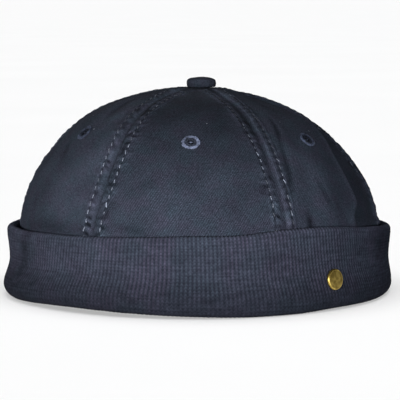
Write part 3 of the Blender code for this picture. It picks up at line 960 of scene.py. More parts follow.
    def meridian(self) -> Pair:
        """Falls from the top to the hem, and the length of cloth down to each."""
        hem_fall = QUARTER_TURN + (self.base - self.hem) / self.half_width
        fall = np.linspace(0.0, hem_fall, self.meridian_steps)
        steps = np.hypot(np.diff(self.reach(fall)) * self.half_width, np.diff(self.height(fall)))
        return fall, np.append(0.0, np.cumsum(steps))

    def down_cloth(self, fall: Array) -> Array:
        """The length of cloth from the top down to a fall."""
        falls, lengths = self.meridian()
        return np.interp(fall, falls, lengths)

    def girth(self) -> Pair:
        """Bearings from half a turn left of the front on for two turns, and the widest line's length there."""
        turn = np.linspace(-math.pi, 3 * math.pi, self.girth_steps)
        points, _ = self.oval(turn)
        steps = np.linalg.norm(np.diff(points, axis=0), axis=-1)
        return turn, np.append(0.0, np.cumsum(steps))

    def round_cloth(self, bearing: Array) -> Array:
        """The length of the widest line from half a turn left of the front on to a bearing."""
        turns, lengths = self.girth()
        return np.interp(bearing, turns, lengths)


@dataclass(frozen=True)
class SewnRelief:
    """What sewing and wear do to the crown's cloth: grooves, raised allowances, puckers, creases and sag, and
    the paler and darker places painted on them, partly as wear and partly as painted light and painted shade."""

    crown: Crown
    groove_depth: float = 0.1 * MM
    groove_width: float = 0.5 * MM
    valley_edge: Span = (0.4 * MM, 1.6 * MM)
    allowance: float = 0.5 * MM
    allowance_edge: Span = (4.9 * MM, 6.7 * MM)
    ridge: float = 0.18 * MM
    cord_apart: float = 1.5 * MM
    cord_width: float = 0.55 * MM
    # The cloth's length from the top over which the cord sinks, and the share that it loses.
    cord_fades: Span = (86 * MM, 102 * MM)
    cord_loss: float = 0.7
    row_depth: float = 0.5 * MM
    row_width: float = 0.65 * MM
    # The share of a row's depth between the needle's holes and what a hole adds, and the same of its painted
    # shade in the pinched line and the holes.
    row_sinks: Span = (0.6, 0.4)
    row_shade: Span = (0.15, 0.6)
    puff: float = 0.2 * MM
    puff_width: float = 1.7 * MM
    quilt: float = 0.28 * MM
    quilt_apart: float = 2.2 * MM
    quilt_width: float = 1.1 * MM
    # How strong the quilting is beside a seam, and how much that changes from stitch to stitch.
    quilt_chance: Span = (0.55, 0.6)
    # Puckers: a coarse and a fine size with their shares, how far they slant, the length over which the seam is
    # drawn in more or less, the patches that have more and fewer, and how they weaken towards the top.
    pucker: float = 0.62 * MM
    pucker_reach: float = 3.4 * MM
    pucker_edge: Span = (0.6 * MM, 2 * MM)
    pucker_slant: float = 0.45
    pucker_sizes: Span = (3.2 * MM, 1.5 * MM)
    pucker_shares: Span = (0.5, 0.8)
    drawn_length: float = 14 * MM
    drawn_share: Span = (0.8, 0.6)
    pucker_patch: Span = (2.4 * MM, 3.1 * MM)
    patch_share: Span = (0.7, 0.75)
    pucker_levels: Span = (48 * MM, 66 * MM)
    pucker_high: float = 0.45
    # How much paler each form is painted, partly wear and partly painted light on its crests and painted shade
    # in
    # its hollows: a pucker beyond the rows and between them, a puff, the allowance, the quilting, and how much
    # darker the quilting is painted at a needle's hole, as shade.
    pucker_wear_and_shading: Span = (1.1, 1.8)
    puff_wear_and_shading: float = 0.35
    allowance_wear_and_shading: float = 0.1
    quilt_wear_and_shading: float = 0.6
    quilt_shade: float = 0.3
    # The cloth's sag: broad and close waves, with their number round the cap and their length down it.
    sag: float = 0.42 * MM
    sag_waves: tuple[Span, Span] = ((24, 20 * MM), (62, 8 * MM))
    close_share: float = 0.3
    # The cloth at an eyelet: how flat it is kept and how far it is drawn in, the widths of both, and how far
    # the face's length down falls short of a circle's there.
    flat_width: float = 9 * MM
    dimple: float = 0.3 * MM
    dimple_width: float = 5.5 * MM
    eyelet_squash: float = 0.86
    # The reaches between which the relief sets in under the button.
    relief_edge: Span = (0.05, 0.16)
    # The lengths of cloth from the top to where the stripes' high and middle strengths, and then their middle
    # and low ones, meet, and how long the pieces are that a stripe is broken into, and how strongly.
    stripe_levels: tuple[float, ...] = (50 * MM, 62 * MM, 90 * MM, 98 * MM)
    stripe_break: float = 3.0 * MM
    stripe_unevenness: float = 0.7
    # The crest on the right: its bearing, its swing towards the side higher up, which is a bell curve of the
    # fall, how far and where it turns back towards the front above the cuff, and between which falls it is
    # there. All of these are in degrees.
    crest_bearing: float = 64.5
    crest_swing: float = 15.5
    crest_fall: float = 34.0
    crest_spread: float = 17.0
    crest_tuck: float = 6.0
    crest_tucked: Span = (73, 80)
    crest_falls: Four = (34, 42, 80, 90)
    # Its ridge with the place and the width of that, the drop beyond it with its edges, and the painted light
    # on the ridge and the painted shade beyond it.
    crest_ridge: float = 0.45 * MM
    ridge_place: Span = (-1.5 * MM, 2.6 * MM)
    crest_drop: float = 0.35 * MM
    drop_edges: Four = (-0.2 * MM, 1.8 * MM, 22 * MM, 42 * MM)
    crest_light_and_shade: Span = (0.35, -0.58)
    # The creases and broad places of the cloth. Their tone is partly wear and partly painted: darker creases,
    # the top of the front and the place above the cuff on the left are painted shade, and paler ridges and the
    # top's shoulders are painted light.
    creases: tuple[Fold, ...] = (
        Fold(-53, 22, -49, 36, 1.9, -0.7, -0.6),
        Fold(-40, 24, -43, 42, 3, 0.5, 0.4),
        Fold(-62, 20, -60, 34, 2.5, 0.5, 0.3),
        Fold(-35.5, 47, -44.8, 68.6, 8, 0.3, 0.4),
        Fold(-37, 37, -33, 55, 5, 0.2, 0.42),
        Fold(-61.3, 84, -34.5, 83, 6, -0.2, -0.6),
        Fold(-63.5, 48, -56, 58, 2, -0.5, -0.4),
        Fold(1, 14, 4, 60, 25, 0.0, -0.36),
        Fold(-12, 25, 22, 27, 9, 0.0, -0.3),
        Fold(-3.5, 8, -3.5, 24, 13, 0.0, -0.25),
        Fold(-10, 59, -16, 66, 3.5, -0.4, -0.3),
        Fold(-6, 60, -3, 70, 4, 0.2, 0.2),
        Fold(44.2, 33.6, 37.5, 47, 1.6, -0.8, -0.75),
        Fold(37.5, 47, 33.3, 66, 1.7, -0.8, -0.75),
        Fold(28, 24, 26.4, 46, 2.2, -0.2, -0.45),
        Fold(38, 48, 42, 62, 9, 0.0, 0.52),
        Fold(40, 22, 42, 40, 8, 0.0, 0.2),
        Fold(-47, 62, -36, 78, 11, 0.0, 0.34),
        Fold(-32, 46, -29, 56, 9, 0.0, 0.18),
        Fold(-34, 16, -14, 11, 6, 0.0, 0.8),
        Fold(18, 12, 34, 20, 6, 0.0, 0.75),
        Fold(-19, 22, -17, 44, 7, 0.0, -0.35),
        Fold(15, 30, 17, 42, 7, 0.0, -0.25),
        Fold(20, 14, 26, 22, 5, 0.0, 0.5),
        Fold(93, 38, 93, 51, 8, 0.6, 0.0),
        Fold(37.8, 76, 37.8, 84.2, 1.8, -0.9, -0.95),
        Fold(46, 62, 47, 75, 1.8, -0.5, -0.4),
        Fold(-15, 68, -6, 71, 10, 0.0, 0.2),
        Fold(-22, 79, -10, 83, 1.8, -0.4, -0.35),
        Fold(-96, 62, -108, 80, 3, -0.6, -0.4),
        Fold(-128, 40, -124, 66, 3, -0.6, -0.4),
        Fold(106, 66, 116, 82, 3, -0.6, -0.4),
        Fold(134, 36, 130, 58, 2.6, -0.7, -0.5),
        Fold(168, 30, 176, 52, 3, 0.6, 0.3),
        Fold(-166, 58, -158, 78, 3, -0.6, -0.45),
    )

    def at(self, bearing: Array, fall: Array) -> Array:
        """The height that sewing and wear add to the face, along the outward direction."""
        return self.sewn(bearing, fall)[0]

    def sewn(self, bearing: Array, fall: Array) -> Pair:
        """What sewing and wear add to the face.

        Args:
            bearing: the places' bearings.
            fall: the places' falls.

        Returns:
            Heights along the outward direction, and how much paler the cloth is painted, for wear and painted
            light, or darker for painted shade.
        """
        crown = self.crown
        bearing, fall = np.broadcast_arrays(bearing, fall)
        down = crown.down_cloth(fall)
        height = self.unevenness(bearing, fall, down)
        rubbed = np.zeros_like(height)
        for number, (name, seam) in enumerate(crown.seams.items()):
            raised, paler = self.seam(number, seam, crown.seam_distance(name, bearing, fall), down)
            height, rubbed = height + raised, rubbed + paler
        raised, paler = self.crest(bearing, fall)
        height, rubbed = height + raised, rubbed + paler
        # Each crease's painted light and painted shade, with some wear.
        for crease in self.creases:
            share = crown.fold_share(crease, bearing, fall)
            height, rubbed = height + crease.height * MM * share, rubbed + crease.rubbed * share
        keep = eased(crown.reach(fall), *self.relief_edge)
        return height * keep + self.eyelet_dimples(bearing, fall), rubbed * keep

    def crest(self, bearing: Array, fall: Array) -> Pair:
        """The crest on the right: a ridge down the crown, painted paler as light, beyond which the cloth drops
        and is painted darker as shade.

        Args:
            bearing: the places' bearings.
            fall: the places' falls.

        Returns:
            Heights along the outward direction, and how much paler the cloth is painted as light on the ridge,
            or darker as shade beyond it.
        """
        degrees = np.degrees(fall)
        line = self.crest_bearing + self.crest_swing * bell(degrees - self.crest_fall, self.crest_spread)
        line = line - self.crest_tuck * eased(degrees, *self.crest_tucked)
        turn = turn_from(np.radians(line), bearing)
        beyond = turn * self.crown.reach(fall) * self.crown.half_width
        present = plateau(degrees, *self.crest_falls) * (np.abs(turn) < QUARTER_TURN)
        step = plateau(beyond, *self.drop_edges) * present
        middle, width = self.ridge_place
        ridge = bell(beyond - middle, width) * present
        # Painted light on the ridge and painted shade beyond it.
        paler, darker = self.crest_light_and_shade
        return self.crest_ridge * ridge - self.crest_drop * step, paler * ridge + darker * step

    def seam(self, number: int, seam: Seam, distance: Array, down: Array) -> Pair:
        """One seam: a groove in a raised band with a cord of folded edges beside it, a pinched line under each
        row of stitches, cloth that puffs up between the needle's holes, and puckers that run out from the rows.

        Args:
            number: the seam's number, which seeds its puckers.
            seam: how strong its parts are.
            distance: signed distance to the seam.
            down: length of cloth from the top.

        Returns:
            Heights along the outward direction, and how much paler the cloth is painted, for wear and painted
            light, or darker for painted shade.
        """
        distance = distance - seam.aside
        apart = np.abs(distance)
        beyond = apart - self.crown.stitch_row
        hole = 0.5 + 0.5 * np.cos(TAU * down / self.crown.stitch_pitch)
        row = bell(beyond, self.row_width)
        valley = seam.valley * (1 - eased(apart, *self.valley_edge))
        band = (1 - valley) * (1 - eased(apart, *self.allowance_edge))
        groove = bell(apart, self.groove_width)
        cord = seam.cord * (1 - self.cord_loss * eased(down, *self.cord_fades))
        cord = cord * bell(distance - self.cord_apart, self.cord_width)
        puff = (1 - hole) * bell(beyond, self.puff_width) * (1 - row)
        inside = seam.quilting * bell(apart - self.quilt_apart, self.quilt_width)
        quilt = inside * (1 - hole) * self.by_stitch(number, distance, beyond, down)
        wrinkle = self.wrinkle(number, distance, beyond, down) * (1 - row) * seam.puckers
        height = self.allowance * band - self.groove_depth * groove + self.ridge * cord + self.quilt * quilt
        along, at_hole = self.row_sinks
        height = height - self.row_depth * row * (along + at_hole * hole)
        height = height + self.puff * puff + self.pucker * wrinkle
        # Raised forms are painted paler and hollows darker: partly wear, partly painted light and painted
        # shade.
        outside, between = self.pucker_wear_and_shading
        rubbed = np.where(beyond > 0, outside, between) * wrinkle + self.puff_wear_and_shading * puff
        rubbed = rubbed + self.allowance_wear_and_shading * band + self.striped(number, seam, distance, down)
        rubbed = rubbed + self.quilt_wear_and_shading * quilt - self.quilt_shade * inside * hole
        # Painted shade along each row's pinched line and at its needle's holes.
        along, at_hole = self.row_shade
        return height, rubbed - row * (along + at_hole * hole)

    def strip(self, distance: Array, beyond: Array) -> Array:
        """A number for each of the four strips of cloth that a seam and its two rows make, for their noise."""
        return np.where(distance > 0, 7, 0) + np.where(beyond < 0, 3, 0)

    def by_stitch(self, number: int, distance: Array, beyond: Array, down: Array) -> Array:
        """How strong the quilting is, which changes from stitch to stitch."""
        mean, spread = self.quilt_chance
        stitch = down / self.crown.stitch_pitch + 0.5
        return mean + spread * soft_noise(self.strip(distance, beyond), stitch, STRIP_CELLS, 140 + number)

    def wrinkle(self, number: int, distance: Array, beyond: Array, down: Array) -> Array:
        """The puckers that a seam's rows draw the cloth into: noise at two sizes, slanting away from the seam.

        Args:
            number: the seam's number, which seeds them.
            distance: signed distance to the seam's sewing.
            beyond: the distance past a row, below 0 between the rows.
            down: length of cloth from the top.

        Returns:
            Their strength, from about -1 to 1.
        """
        apart, strip = np.abs(distance), self.strip(distance, beyond)
        slanted = down + self.pucker_slant * apart
        coarse_size, fine_size = self.pucker_sizes
        coarse = soft_noise(strip + 0.31, slanted / coarse_size, STRIP_CELLS, 40 + number)
        fine = soft_noise(strip + 0.77, slanted / fine_size, STRIP_CELLS, 60 + number)
        drawn = soft_noise(strip + 0.13, down / self.drawn_length, STRIP_CELLS, 80 + number)
        across, along = self.pucker_patch
        patchy = soft_noise(distance / across, down / along, NOISE_CELLS, 160 + number)
        fade = np.where(beyond > 0, bell(beyond, self.pucker_reach), 1.0) * eased(apart, *self.pucker_edge)
        strength = self.pucker_high + (1 - self.pucker_high) * eased(down, *self.pucker_levels)
        strength = strength * (self.drawn_share[0] + self.drawn_share[1] * drawn)
        strength = strength * (self.patch_share[0] + self.patch_share[1] * patchy)
        return (self.pucker_shares[0] * coarse + self.pucker_shares[1] * fine) * fade * strength

    def striped(self, number: int, seam: Seam, distance: Array, down: Array) -> Array:
        """The seam's stripes, each a bell curve of the distance, and broken along its length.

        Args:
            number: the seam's number, which seeds where its stripes are broken.
            seam: the seam.
            distance: signed distance to its sewing.
            down: length of cloth from the top.

        Returns:
            How much paler the cloth is painted, for wear and painted light, or darker for painted shade.
        """
        rubbed = np.zeros(np.shape(distance))
        for place, stripe in enumerate(seam.stripes):
            strengths = (stripe.high, stripe.middle, stripe.middle, stripe.low)
            strength = np.interp(down, self.stripe_levels, strengths)
            broken = soft_noise(place + 0.5, down / self.stripe_break, STRIP_CELLS, 180 + number)
            strength = strength * (1 + self.stripe_unevenness * broken)
            # Painted light and painted shade along the seam, with some wear.
            rubbed = rubbed + strength * bell(distance - stripe.distance * MM, stripe.width * MM)
        return rubbed

    def unevenness(self, bearing: Array, fall: Array, down: Array) -> Array:
        """The cloth's soft sag between its seams, at two sizes, and none under the eyelets."""
        (broad_waves, broad_length), (close_waves, close_length) = self.sag_waves
        broad = soft_noise(bearing / TAU * broad_waves, down / broad_length, broad_waves, 11)
        close = soft_noise(bearing / TAU * close_waves, down / close_length, close_waves, 12)
        keep = 1 - bell(self.to_eyelet(bearing, fall), self.flat_width)
        return self.sag * (broad + self.close_share * close) * keep

    def to_eyelet(self, bearing: Array, fall: Array) -> Array:
        """The distance to the nearest eyelet's middle, measured over the cloth."""
        nearest = np.full(np.shape(bearing), 1.0)
        for panel in self.crown.panels.values():
            middle, level = math.radians(panel.eyelet_bearing), math.radians(panel.eyelet_fall)
            across = turn_from(middle, bearing) * self.crown.half_width * math.sin(level)
            below = (fall - level) * self.crown.half_width * self.eyelet_squash
            nearest = np.minimum(nearest, np.hypot(across, below))
        return nearest

    def eyelet_dimples(self, bearing: Array, fall: Array) -> Array:
        """The cloth drawn in round every eyelet."""
        return -self.dimple * bell(self.to_eyelet(bearing, fall), self.dimple_width)


@dataclass(frozen=True)
class TwillPanels:
    """The six cloth panels, each a closed wall between two seams with a round hole for its eyelet."""

    crown: Crown
    relief: SewnRelief
    columns: int = 104
    rows: int = 180
    gap: float = 0.04 * MM
    crowding: float = 0.62
    hole: float = 3.0 * MM

    def build(self, coarse: Material, fine: Material) -> None:
        """Builds every panel and dresses it.

        Args:
            coarse: the front panel's twill.
            fine: the other panels' twill.
        """
        for name, panel in self.crown.panels.items():
            piece = self.panel("twill_" + name, panel, coarse if name == "front" else fine)
            dress(piece, Slot.TWILL, "panel_" + name)

    def panel(self, name: str, panel: Panel, material: Material) -> Piece:
        """One panel: its outer face on a grid of bearing and fall, and the same grid set in by the wall.

        Columns crowd towards the seams: the share across is t less a part of the sine of a whole turn of t.

        Args:
            name: the piece's name.
            panel: its seams and its eyelet.
            material: the twill.

        Returns:
            The panel's object.
        """
        crown = self.crown
        top = math.asin((crown.opening / crown.half_width) ** (crown.fullness / 2))
        low = QUARTER_TURN + (crown.base - crown.hem) / crown.half_width
        fall = np.linspace(top, low, self.rows)[:, None]
        half_gap = self.gap / 2 / (crown.half_width * crown.reach(fall))
        start = crown.seam_bearing(panel.left, fall) + half_gap
        width = (crown.seam_bearing(panel.right, fall) - half_gap - start) % TAU
        step = np.linspace(0, 1, self.columns)
        share = step - self.crowding * np.sin(TAU * step) / TAU
        bearing = start + width * share
        fall = np.broadcast_to(fall, bearing.shape)
        height, rubbed = self.relief.sewn(bearing, fall)
        outer = crown.face(bearing, fall, height)
        inner = outer - outward_of(crown.face(bearing, fall)) * crown.wall
        middle = crown.round_cloth(start + width / 2)
        across = (crown.round_cloth(bearing) - middle) * crown.reach(fall)
        turn = math.radians(panel.grain)
        grain = np.array(((math.cos(turn), math.sin(turn)), (-math.sin(turn), math.cos(turn))))
        cloth = np.stack([across, crown.down_cloth(fall)], -1) @ grain / MM
        piece = self.walled(name, outer, inner, cloth, rubbed, material)
        centre, axis = crown.seat(math.radians(panel.eyelet_bearing), math.radians(panel.eyelet_fall))
        cut_hole(piece, centre, axis, self.hole)
        return piece

    def walled(
        self, name: str, outer: Array, inner: Array, cloth: Array, rubbed: Array, material: Material
    ) -> Piece:
        """Joins an outer and an inner grid of points into a closed wall.

        Args:
            name: the piece's name.
            outer: the outer grid.
            inner: the inner grid.
            cloth: UV points of the outer grid.
            rubbed: how much paler the outer grid's cloth is painted, for wear and painted light, or darker for
                painted shade.
            material: the twill.

        Returns:
            The wall's object.
        """
        rows, columns = outer.shape[:2]
        front, _ = grid_faces(rows, columns, False, False)
        total = rows * columns
        numbers = np.arange(total).reshape(rows, columns)
        rim = np.concatenate([numbers[0], numbers[1:, -1], numbers[-1, -2::-1], numbers[-2::-1, 0]])
        edge = np.stack([rim[:-1], rim[1:], rim[1:] + total, rim[:-1] + total], -1)
        faces = np.concatenate([front, front[:, ::-1] + total, edge])
        points = np.concatenate([outer.reshape(-1, 3), inner.reshape(-1, 3)])
        marks = np.concatenate([cloth.reshape(-1, 2)] * 2)
        wear_and_shading_values = np.concatenate([rubbed.ravel(), 0 * rubbed.ravel()])
        return make_piece(name, points, [faces], marks, [faces], material, wear_and_shading_values)


def cut_hole(piece: Piece, centre: Array, axis: Array, radius: float) -> None:
    """Cuts a round hole through a closed wall with a Boolean, and keeps its result as the piece's mesh.

    Args:
        piece: the wall.
        centre: a point on the hole's axis.
        axis: the axis's direction.
        radius: the hole's radius.
    """
    sides, half_length = 48, 6 * MM
    angle = ring_of(sides)
    level, upright, along = turned_frame(axis)
    ring = np.outer(np.cos(angle), level) + np.outer(np.sin(angle), upright)
    ends = [centre + ring * radius + along * end for end in (half_length, -half_length)]
    faces, marks = grid_faces(2, sides, False, True)
    caps = np.stack([np.arange(sides), np.arange(sides)[::-1] + sides])
    points = np.concatenate(ends)
    numbers = np.zeros((3 * (sides + 1), 2))
    cutter = make_piece("hole_cutter", points, [faces, caps], numbers, [marks, caps], piece.data.materials[0])
    boolean = piece.modifiers.new("hole", "BOOLEAN")
    boolean.operation, boolean.solver, boolean.object = "DIFFERENCE", "EXACT", cutter
    evaluated = piece.evaluated_get(bpy.context.evaluated_depsgraph_get())
    holed = bpy.data.meshes.new_from_object(evaluated)
    piece.modifiers.clear()
    plain, piece.data = piece.data, holed
    bpy.data.meshes.remove(plain)
    bpy.data.objects.remove(cutter, do_unlink=True)
    holed.name = piece.name


@dataclass(frozen=True)
class Topstitching:
    """Twin rows of stitches, one on each side of every seam: short slanted lengths of thread that dive at their
    two ends."""

    crown: Crown
    relief: SewnRelief
    length: float = 2.95 * MM
    thickness: float = 0.5 * MM
    breadth: float = 1.1
    flatness: float = 0.75
    slant: float = 0.16
    slant_spread: float = 0.2
    jitter: float = 0.18 * MM
    sinking: float = 0.1 * MM
    wear_spread: float = 0.3
    placing: float = 0.12 * MM
    sizes: Span = (0.85, 1.1)
    # The power curves of a stitch's half length by which it dives, bows when it is pulled straight, and thins,
    # each with its strength in radii, and how much it is pulled straight.
    dive: Span = (2.1, 3.5)
    bow: Span = (1.5, 2.5)
    thinning: Span = (0.35, 3)
    pulled: float = 0.5
    # The turn over which the face's direction is read.
    step: float = 0.004
    top_reach: float = 8.8 * MM
    bottom: float = 27.5 * MM
    rings: int = 8
    sides: int = 6
    # The length of thread on a stitch's UV map.
    marked_mm: float = 3.0

    def build(self, material: Material) -> None:
        """Builds the stitches of every seam as one piece each.

        Args:
            material: the thread.
        """
        for number, name in enumerate(self.crown.seams):
            dress(self.seam("topstitch_" + name, name, number, material), Slot.THREAD)

    def seam(self, name: str, seam: str, number: int, material: Material) -> Piece:
        """Both rows of one seam.

        A stitch's line rises by a power curve of its length and sinks below the cloth at its ends. Its section
        is a flattened circle carried along that line, and a point closes it at each end.

        Args:
            name: the piece's name.
            seam: the seam's name.
            number: the seam's number, which seeds the stitches' unevenness.
            material: the thread.

        Returns:
            The stitches' object.
        """
        random = np.random.default_rng(100 + number)
        crown, pitch = self.crown, self.crown.stitch_pitch
        falls, lengths = crown.meridian()
        first = np.interp(self.top_reach, crown.reach(falls) * crown.half_width, lengths)
        last = np.interp(crown.base - self.bottom, -crown.height(falls), lengths)
        start = math.ceil(first / pitch)
        middles = (np.arange(start, int(last / pitch)) + 0.5) * pitch
        middle = np.tile(middles, 2)[:, None] + random.normal(0, self.placing, (2 * len(middles), 1))
        side = np.repeat([-1.0, 1.0], len(middles))[:, None]
        slant = random.normal(self.slant, self.slant_spread, middle.shape)
        size = random.uniform(*self.sizes, middle.shape)
        sunk = np.abs(random.normal(0, self.sinking, middle.shape))
        sewing = crown.seams[seam]
        worn_and_shaded = random.normal(0.0, self.wear_spread, len(middle)) + np.repeat(sewing.rows_worn, len(middles))
        share = np.linspace(-1, 1, self.rings)[None, :]
        end = np.abs(share)
        along = share * self.length / 2 * size
        fall = np.interp(middle + along, lengths, falls)
        offset = side * crown.stitch_row + along * slant + random.normal(0, self.jitter, middle.shape)
        scale = crown.reach(fall) * crown.half_width
        bearing = crown.seam_bearing(seam, fall) + (offset + sewing.aside) / scale
        base = crown.face(bearing, fall, self.relief.at(bearing, fall))
        downward = crown.face(bearing, fall + self.step) - crown.face(bearing, fall - self.step)
        beside = crown.face(bearing + self.step, fall) - crown.face(bearing - self.step, fall)
        outward = unit(np.cross(downward, beside))
        across = np.cross(outward, unit(np.gradient(base, axis=1)))
        radius = self.thickness / 2
        lift = radius * (1.0 - self.dive[0] * end ** self.dive[1]) - sunk
        line = base + outward * lift[..., None]
        # Where the cloth sinks under a stitch, the thread is pulled straight between its two ends.
        chord = line[:, :1] + (line[:, -1:] - line[:, :1]) * ((share + 1) / 2)[..., None]
        bow = outward * (radius * self.bow[0] * (1 - end ** self.bow[1]))[..., None]
        line = (1 - self.pulled) * line + self.pulled * (chord + bow)
        girth = radius * size * (1 - self.thinning[0] * end ** self.thinning[1])
        angle = ring_of(self.sides)
        ring = np.cos(angle)[:, None] * across[..., None, :] * self.breadth
        ring = ring + np.sin(angle)[:, None] * outward[..., None, :] * self.flatness
        points = line[..., None, :] + ring * girth[..., None, None]
        return self.joined(name, points, line, worn_and_shaded, material)

    def joined(self, name: str, points: Array, line: Array, worn_and_shaded: Array, material: Material) -> Piece:
        """Joins all stitches into one mesh, with a point at each end of each.

        Args:
            name: the piece's name.
            points: stitches, rings, sides and coordinates.
            line: the middle of each ring.
            worn_and_shaded: how much paler or darker each stitch is painted.
            material: the thread.

        Returns:
            The stitches' object.
        """
        count, rings, sides = points.shape[:3]
        (tube, tips), (tube_marks, _) = capped_faces(rings, sides)
        per = rings * sides + 2
        ends = np.stack([3 * line[:, 0] - line[:, 1], 3 * line[:, -1] - line[:, -2]], 1) / 2
        whole = np.concatenate([points.reshape(count, -1, 3), ends], 1)
        marks = mark_grid(np.arange(sides + 1) / sides, np.linspace(0, self.marked_mm, rings + 1))
        shifts = np.arange(count)[:, None, None]
        faces = [(part[None] + shifts * per).reshape(-1, part.shape[1]) for part in (tube, tips)]
        mark_faces = [(tube_marks[None] + shifts * len(marks)).reshape(-1, 4), np.zeros_like(faces[1])]
        every = np.tile(marks, (count, 1))
        return make_piece(name, whole, faces, every, mark_faces, material, np.repeat(worn_and_shaded, per))


@dataclass(frozen=True)
class Eyelets:
    """Embroidered eyelets: threads laid side by side from a small hole out into the cloth, in a raised ring."""

    crown: Crown
    radius: float = 4.4 * MM
    hole: float = 1.5 * MM
    behind: float = 1.5 * MM
    threads: int = 40
    thread_height: float = 0.2 * MM
    points_per_thread: int = 6
    # The ring's section: the distance from its middle and the height over the cloth in mm, and how much paler
    # it is painted: painted shade on the lip, in the hollow and at the outer edge, and painted light with some
    # wear on the ring's top. From the hole it has a small lip, a hollow and then the broad ring of laid
    # threads.
    section: tuple[tuple[float, float, float], ...] = (
        (1.5, -0.5, -0.8),
        (1.5, -0.1, -0.7),
        (1.58, 0.16, -0.7),
        (1.78, 0.28, -0.6),
        (2.0, 0.22, -0.6),
        (2.2, 0.02, -0.7),
        (2.45, -0.06, -0.7),
        (2.7, 0.14, -0.35),
        (3.0, 0.44, 0.0),
        (3.35, 0.58, 0.25),
        (3.7, 0.56, 0.4),
        (4.05, 0.4, 0.4),
        (4.32, 0.12, 0.1),
        (4.42, -0.3, -0.5),
    )
    # The hole's wall and the skirt that is hidden in the cloth: how dark both are painted, as shade in the
    # hole, and the skirt's section.
    hidden_shade: float = -0.8
    skirt: tuple[Span, Span] = ((4.1 * MM, -0.6 * MM), (3.9 * MM, -1.5 * MM))
    # How much each thread's length at the outer edge and its height vary, and how round its ridge is.
    lengths: Span = (-0.2 * MM, 0.25 * MM)
    rises: Span = (0.75, 1.2)
    roundness: float = 0.7
    # From how far out their lengths vary, and above which height they make ridges.
    laid_from: float = 2.4 * MM
    ridged_over: float = -0.2 * MM
    # How uneven its wear is round the ring, in how many patches, and above which wear.
    patchiness: float = 0.6
    patches: int = 11
    uneven_over: float = -0.4
    # The bar across the hole, which swells to a knot in its middle: its thread is painted darker as shade in
    # the hole, with a painted highlight on the knot's middle.
    bar_length: float = 3.3 * MM
    bar_radius: float = 0.12 * MM
    bar_swell: float = 0.32 * MM
    bar_depth: float = 0.2 * MM
    knot_width: float = 0.75 * MM
    knot_shine: float = 0.55 * MM
    bar_shade_and_highlight: Span = (-0.6, 1.6)
    bar_rings: int = 11
    bar_sides: int = 10

    def build(self, pale: Material, dark: Material) -> None:
        """Builds the six eyelets.

        Args:
            pale: a paler copy of the thread for the front eyelet, painted as the light that it catches.
            dark: the thread of the others.
        """
        for number, (name, panel) in enumerate(self.crown.panels.items()):
            material = pale if name == "front" else dark
            dress(self.eyelet("embroidered_" + name, panel, number, material), Slot.THREAD, "eyelet_" + name)

    def eyelet(self, name: str, panel: Panel, number: int, material: Material) -> Piece:
        """One eyelet: its section carried round its hole, ridged where its threads lie, and a bar of thread
        that is left across the hole.

        A ridge is the sine of the turn for each thread. Each thread has its own height, and its own length at
        the outer edge.

        Args:
            name: the piece's name.
            panel: the panel that it is in.
            number: the panel's number, which seeds the threads' unevenness.
            material: its thread.

        Returns:
            The eyelet's object.
        """
        random = np.random.default_rng(200 + number)
        centre, axis = self.crown.seat(math.radians(panel.eyelet_bearing), math.radians(panel.eyelet_fall))
        columns = self.threads * self.points_per_thread
        turn = ring_of(columns)
        ridge = np.abs(np.sin(math.pi * ((turn / TAU * self.threads) % 1))) ** self.roundness
        length = np.repeat(random.uniform(*self.lengths, self.threads), self.points_per_thread)
        rise = np.repeat(random.uniform(*self.rises, self.threads), self.points_per_thread)
        section = np.array(self.section)
        far, level = section[:, :1] * MM, section[:, 1:2] * MM
        top_radius = far + length * eased(far, self.laid_from, self.radius)
        furrow = self.thread_height * (1 - ridge) * (level > self.ridged_over)
        top_height = level * np.where(level > 0, rise, 1.0) - furrow
        wall = [(self.hole, height) for height in np.linspace(-self.behind, level[0, 0], 4)[:-1]]
        around = np.ones(columns)
        wall, skirt = (np.array(part)[..., None] * around for part in (wall, self.skirt))
        radii = np.concatenate([wall[:, 0], top_radius, skirt[:, 0]])
        heights = np.concatenate([wall[:, 1], top_height, skirt[:, 1]])
        ring = np.stack([radii * np.cos(turn), radii * np.sin(turn), heights], -1)
        rows = len(ring)
        faces, mark_faces = grid_faces(rows, columns, True, True)
        marks = mark_grid(np.linspace(0, self.threads, columns + 1), np.arange(rows + 1) * 0.25)
        bar, bar_faces = self.bar()
        points = np.concatenate([ring.reshape(-1, 3), bar]) @ turned_frame(axis) + centre
        every = [faces] + [face + rows * columns for face in bar_faces]
        every_mark = [mark_faces] + [face + len(marks) for face in bar_faces]
        marks = np.concatenate([marks, np.zeros((len(bar), 2))])
        # Painted shade in the hole, on the lip and in the hollow, painted light on the ring's top, and uneven
        # wear.
        hidden = self.hidden_shade
        worn_and_shaded = np.concatenate([[hidden] * len(wall), section[:, 2], [hidden] * len(skirt)])[:, None]
        uneven = self.patchiness * soft_noise(turn / TAU * self.patches, 0.5, self.patches, 210 + number)
        # Painted shade on the bar, and a painted highlight on its knot.
        thread, shine = self.bar_shade_and_highlight
        bar_shade_and_highlight = thread + shine * bell(bar[:, 0], self.knot_shine)
        wear_and_shading_values = np.append(np.clip(worn_and_shaded + uneven * (worn_and_shaded > self.uneven_over), -0.9, 1.0), bar_shade_and_highlight)
        return make_piece(name, points, every, marks, every_mark, material, wear_and_shading_values)

